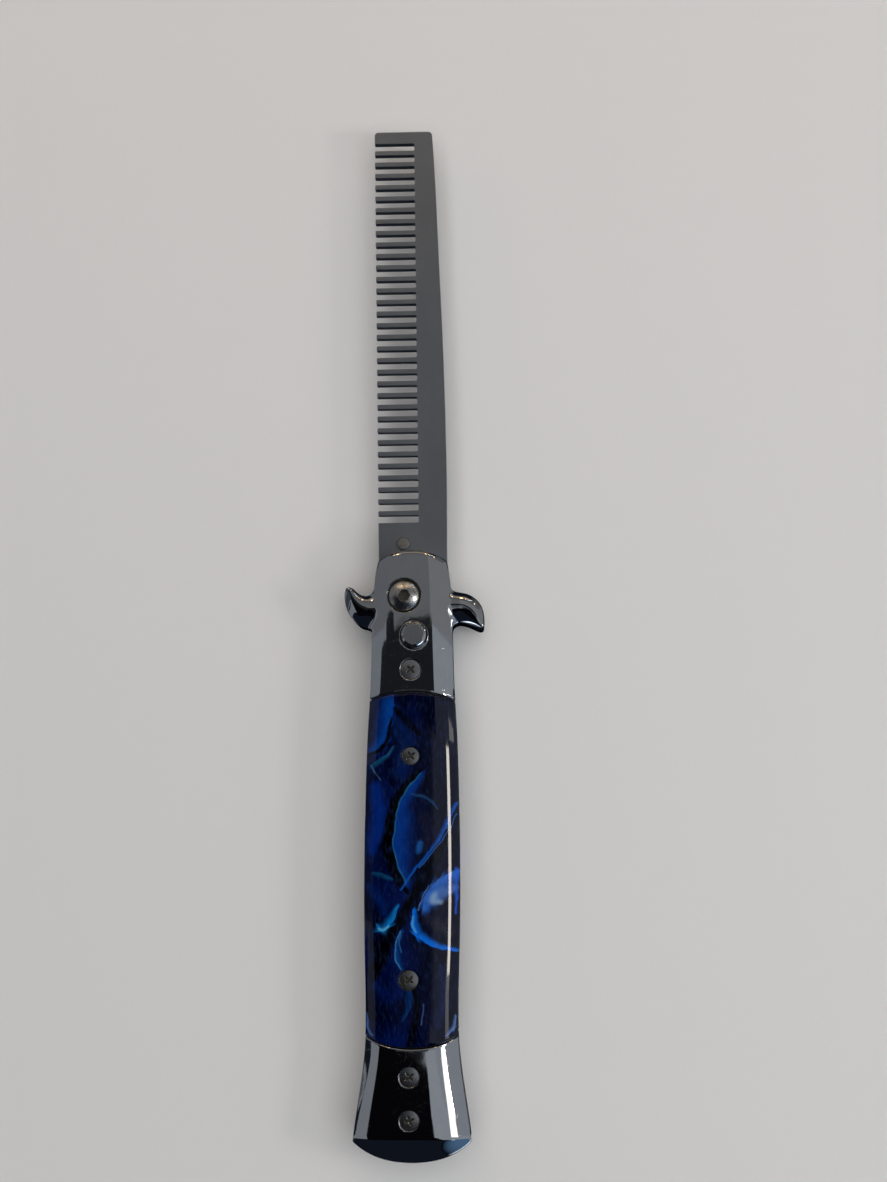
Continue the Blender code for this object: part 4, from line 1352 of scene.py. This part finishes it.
# Studio: cards stand on a cylinder about the handle, lamps on a dome, and both only show in
# reflections
LAMP_REACH = 900.0
LAMP_CORNERS = 24
FLOOR_SIZE = 6.0
FLOOR_COLOUR = (0.80, 0.80, 0.80)
FLOOR_PALE = (0.82, 0.82, 0.82)
ROOM_COLOUR = (0.006, 0.008, 0.014)
CARD_REACH = 700.0
BEHIND_REACH = 720.0
BEFORE_REACH = 680.0
CARD_COLUMNS = 16
SOFT_CARD = "right_card_middle"
SOFT_EDGE_FROM = -70.0
SOFT_EDGE_TO = 110.0
MID_Y = 330.0
FAR_Y = 834.0
FAR_TURN = 140.0
CARDS = (
    # name, reach, radiance, tint, rows across the card: turn of an end in degrees to the right of
    # overhead, its y, turn of the other end and, where it differs, its y
    ("front_card_left", CARD_REACH, 0.125, (0.98, 1.0, 1.04), (
        (-40.0, 76.0, -40.0, MID_Y), (-12.0, 75.0, -12.0, MID_Y), (-8.5, 73.5, -8.5, MID_Y),
        (-6.5, 66.0, -6.5, MID_Y), (-3.2, 64.6, -3.2, MID_Y), (-2.77, 66.9, -2.77, MID_Y),
        (-2.6, 68.7, -2.6, MID_Y), (-2.38, 71.0, -2.38, MID_Y), (4.0, 71.0, 4.0, MID_Y),
    )),
    ("front_card_right", CARD_REACH, 0.175, (0.97, 1.0, 1.05), (
        (4.0, 70.5, FAR_TURN, 70.0), (4.0, MID_Y, FAR_TURN),
    )),
    ("front_card_far", CARD_REACH, 0.10, (0.98, 1.0, 1.04), (
        (-40.0, MID_Y, FAR_TURN), (-40.0, FAR_Y, FAR_TURN),
    )),
    ("front_card_low", CARD_REACH, 0.26, (1.0, 0.84, 0.66), ((-80.0, FAR_Y, 80.0), (-80.0, 3500.0, 80.0))),
    ("right_card", CARD_REACH, 0.25, (0.93, 1.0, 1.10), (
        (10.2, 70.0, FAR_TURN), (14.7, 22.0, FAR_TURN), (15.0, 1.6, FAR_TURN), (12.0, 0.0, FAR_TURN),
    )),
    ("right_card_middle", CARD_REACH, 0.23, (0.93, 1.0, 1.12), (
        (-6.0, 0.0, FAR_TURN), (-6.0, -186.0, FAR_TURN),
    )),
    ("right_card_low", CARD_REACH, 0.27, (0.93, 1.0, 1.10), (
        (-1.0, -186.0, FAR_TURN), (-1.6, -205.0, FAR_TURN), (3.7, -237.0, FAR_TURN),
        (10.7, -252.0, FAR_TURN), (16.0, -265.0, FAR_TURN), (28.0, -420.0, FAR_TURN),
    )),
    ("left_card_high", CARD_REACH, 0.125, (0.94, 0.98, 1.06), (
        (-40.0, FAR_Y, -FAR_TURN), (-40.0, 76.0, -FAR_TURN),
    )),
    ("left_card", CARD_REACH, 0.18, (0.90, 0.97, 1.08), (
        (-40.0, 76.0, -FAR_TURN), (-37.0, 62.0, -FAR_TURN), (-57.0, 60.0, -FAR_TURN),
        (-58.5, 30.0, -FAR_TURN), (-60.0, -8.0, -FAR_TURN),
    )),
    ("left_card_dim", CARD_REACH, 0.05, (0.80, 0.95, 1.20), (
        (-60.0, -8.0, -FAR_TURN), (-60.0, -128.0, -FAR_TURN),
    )),
    ("left_card_low", CARD_REACH, 0.19, (0.92, 0.99, 1.08), (
        (-60.0, -128.0, -FAR_TURN), (-60.0, -133.0, -78.0), (-59.0, -156.0, -78.0),
        (-58.0, -186.0, -88.0), (-57.0, -203.0, -FAR_TURN), (-57.0, -400.0, -FAR_TURN),
    )),
    ("dim_card", BEHIND_REACH, 0.0115, (0.93, 1.0, 1.15), ((-60.0, 90.0, 40.0), (-60.0, -70.0, 40.0))),
    ("black_card", BEHIND_REACH, 0.0018, (1.05, 0.95, 1.3), ((-61.0, -70.0, 40.0), (-61.0, -500.0, 40.0))),
    ("key_strip", BEFORE_REACH, 11.5, (1.0, 0.93, 0.84), ((50.0, 3.0, 59.0), (49.5, -163.0, 57.5))),
    ("key_strip_low", 690.0, 1.45, (1.0, 0.98, 0.95), ((46.5, -152.0, 56.5), (43.0, -212.0, 56.5))),
    ("key_strip_high", BEFORE_REACH, 2.0, (1.0, 0.97, 0.92), ((64.0, 36.0, 76.0), (62.0, 14.0, 76.0))),
)
LAMPS = (
    # name, degrees from +y towards +x, degrees above the floor, half its width and half its height
    # in degrees, radiance, colour, whether it fades to its edge
    ("lamp_warm_left", -18.0, 36.0, 4.5, 8.0, 1.8, (1.0, 0.74, 0.46), False),
    ("lamp_warm_left_core", -17.0, 41.0, 2.0, 2.0, 12.0, (1.0, 0.70, 0.38), False),
    ("lamp_warm_far_left", -31.0, 30.0, 3.0, 7.0, 1.8, (1.0, 0.74, 0.48), False),
    ("lamp_warm_side", -58.0, 23.0, 1.6, 3.0, 12.0, (1.0, 0.66, 0.34), False),
    ("lamp_warm_mid", 10.0, 33.0, 1.4, 5.0, 6.0, (1.0, 0.64, 0.30), False),
    ("lamp_warm_right", 20.0, 35.0, 1.0, 1.5, 20.0, (1.0, 0.64, 0.32), False),
    ("lamp_white_right", 28.0, 32.0, 3.0, 4.5, 1.6, (0.95, 0.96, 1.0), False),
    ("lamp_warm_far", 45.0, 20.0, 1.2, 3.0, 12.0, (1.0, 0.68, 0.38), False),
    ("lamp_blue", 33.0, 15.0, 2.5, 2.0, 5.0, (0.7, 0.85, 1.0), False),
    ("lamp_window_wide", 102.0, 10.0, 66.0, 45.0, 0.24, (0.30, 0.58, 1.0), True),
    ("lamp_window", 138.0, -6.0, 30.0, 7.0, 3.0, (0.80, 0.90, 1.0), True),
    ("lamp_window_core", 132.0, 33.0, 3.0, 3.0, 0.8, (0.85, 0.93, 1.0), False),
)
OVERHEAD_PLACE = (0.2, 0.1, 1.6)
OVERHEAD_SIZE = 2.2
OVERHEAD_POWER = 24.0


def glowing(shader, radiance, tint):
    """A glowing surface."""
    return shader.surfaced("ShaderNodeEmission", {"Color": four(tint), "Strength": radiance})


def glow(name, radiance, tint):
    return glowing(Shader(name), radiance, tint)


def glow_from_left(name, radiance, tint):
    """A card that starts softly at its left edge."""
    shader = Shader(name)
    share = shader.place().dot((1.0, 0.0, 0.0)).ramp(SOFT_EDGE_FROM, SOFT_EDGE_TO)
    return glowing(shader, share * radiance, tint)


def glow_from_middle(name, radiance, tint, middle, level, upright):
    """A lamp that fades from its middle to its oval edge."""
    shader = Shader(name)
    gap = shader.place() - tuple(middle)
    across = gap.dot(tuple(level / level.length_squared / LAMP_REACH))
    rise = gap.dot(tuple(upright / upright.length_squared / LAMP_REACH))
    return glowing(shader, (across * across + rise * rise).ramp(1.0, 0.0) * radiance, tint)


def stand(name, points, faces, material):
    """A card or lamp of the studio, which only shows in reflections."""
    mesh = bpy.data.meshes.new(name)
    mesh.from_pydata([tuple(value * MM for value in point) for point in points], [], faces)
    mesh.materials.append(material)
    thing = added(name, mesh)
    thing.visible_camera = False
    thing.visible_shadow = False


for name, reach, radiance, tint, rows in CARDS:
    points, faces = [], []
    for turn_0, y_0, turn_1, *other_y in rows:
        y_1 = other_y[0] if other_y else y_0
        for share in np.arange(CARD_COLUMNS + 1) / CARD_COLUMNS:
            turn = math.radians(turn_0 + share * (turn_1 - turn_0))
            y = y_0 + share * (y_1 - y_0)
            points.append((AXIS_X + reach * math.sin(turn), y, THICKNESS + reach * math.cos(turn)))
    for row in range(len(rows) - 1):
        for column in range(CARD_COLUMNS):
            corner = row * (CARD_COLUMNS + 1) + column
            after = corner + CARD_COLUMNS + 1
            faces.append((corner, corner + 1, after + 1, after))
    make_glow = glow_from_left if name == SOFT_CARD else glow
    stand(name, points, faces, make_glow(name, radiance, tint))

for name, azimuth, elevation, half_wide, half_high, radiance, colour, fades in LAMPS:
    turn, rise = math.radians(azimuth), math.radians(elevation)
    towards = Vector((math.cos(rise) * math.sin(turn), math.cos(rise) * math.cos(turn), math.sin(rise)))
    level = Vector((math.cos(turn), -math.sin(turn), 0.0)) * math.tan(math.radians(half_wide))
    upright = towards.cross(level).normalized() * math.tan(math.radians(half_high))
    middle = towards * LAMP_REACH
    turns = [2 * math.pi * i / LAMP_CORNERS for i in range(LAMP_CORNERS)]
    rim = [middle + LAMP_REACH * (math.cos(a) * level + math.sin(a) * upright) for a in turns]
    if fades:
        material = glow_from_middle(name, radiance, colour, middle, level, upright)
    else:
        material = glow(name, radiance, colour)
    stand(name, rim, [tuple(range(LAMP_CORNERS))], material)

floor_shader = Shader("pale_floor")
floor_tone = floor_shader.noise(floor_shader.place(), 400.0, 2.0)
pale = floor_shader.mix(floor_tone, FLOOR_COLOUR, FLOOR_PALE)
floor_material = floor_shader.finished(Base_Color=pale, Roughness=0.9)
floor_mesh = bpy.data.meshes.new("floor")
half = FLOOR_SIZE / 2
floor_corners = [(-half, -half, 0), (half, -half, 0), (half, half, 0), (-half, half, 0)]
floor_mesh.from_pydata(floor_corners, [], [(0, 1, 2, 3)])
floor_mesh.materials.append(floor_material)
floor = added("floor", floor_mesh)
floor.visible_glossy = False

overhead_data = bpy.data.lights.new("overhead", "AREA")
overhead_data.size = OVERHEAD_SIZE
overhead_data.energy = OVERHEAD_POWER
overhead = added("overhead", overhead_data)
overhead.location = OVERHEAD_PLACE
overhead.visible_glossy = False
overhead.visible_camera = False

world = bpy.data.worlds.new("dim_room")
world.use_nodes = True
world.node_tree.nodes["Background"].inputs["Color"].default_value = four(ROOM_COLOUR)
bpy.context.scene.world = world
bpy.context.scene.view_settings.view_transform = "Standard"
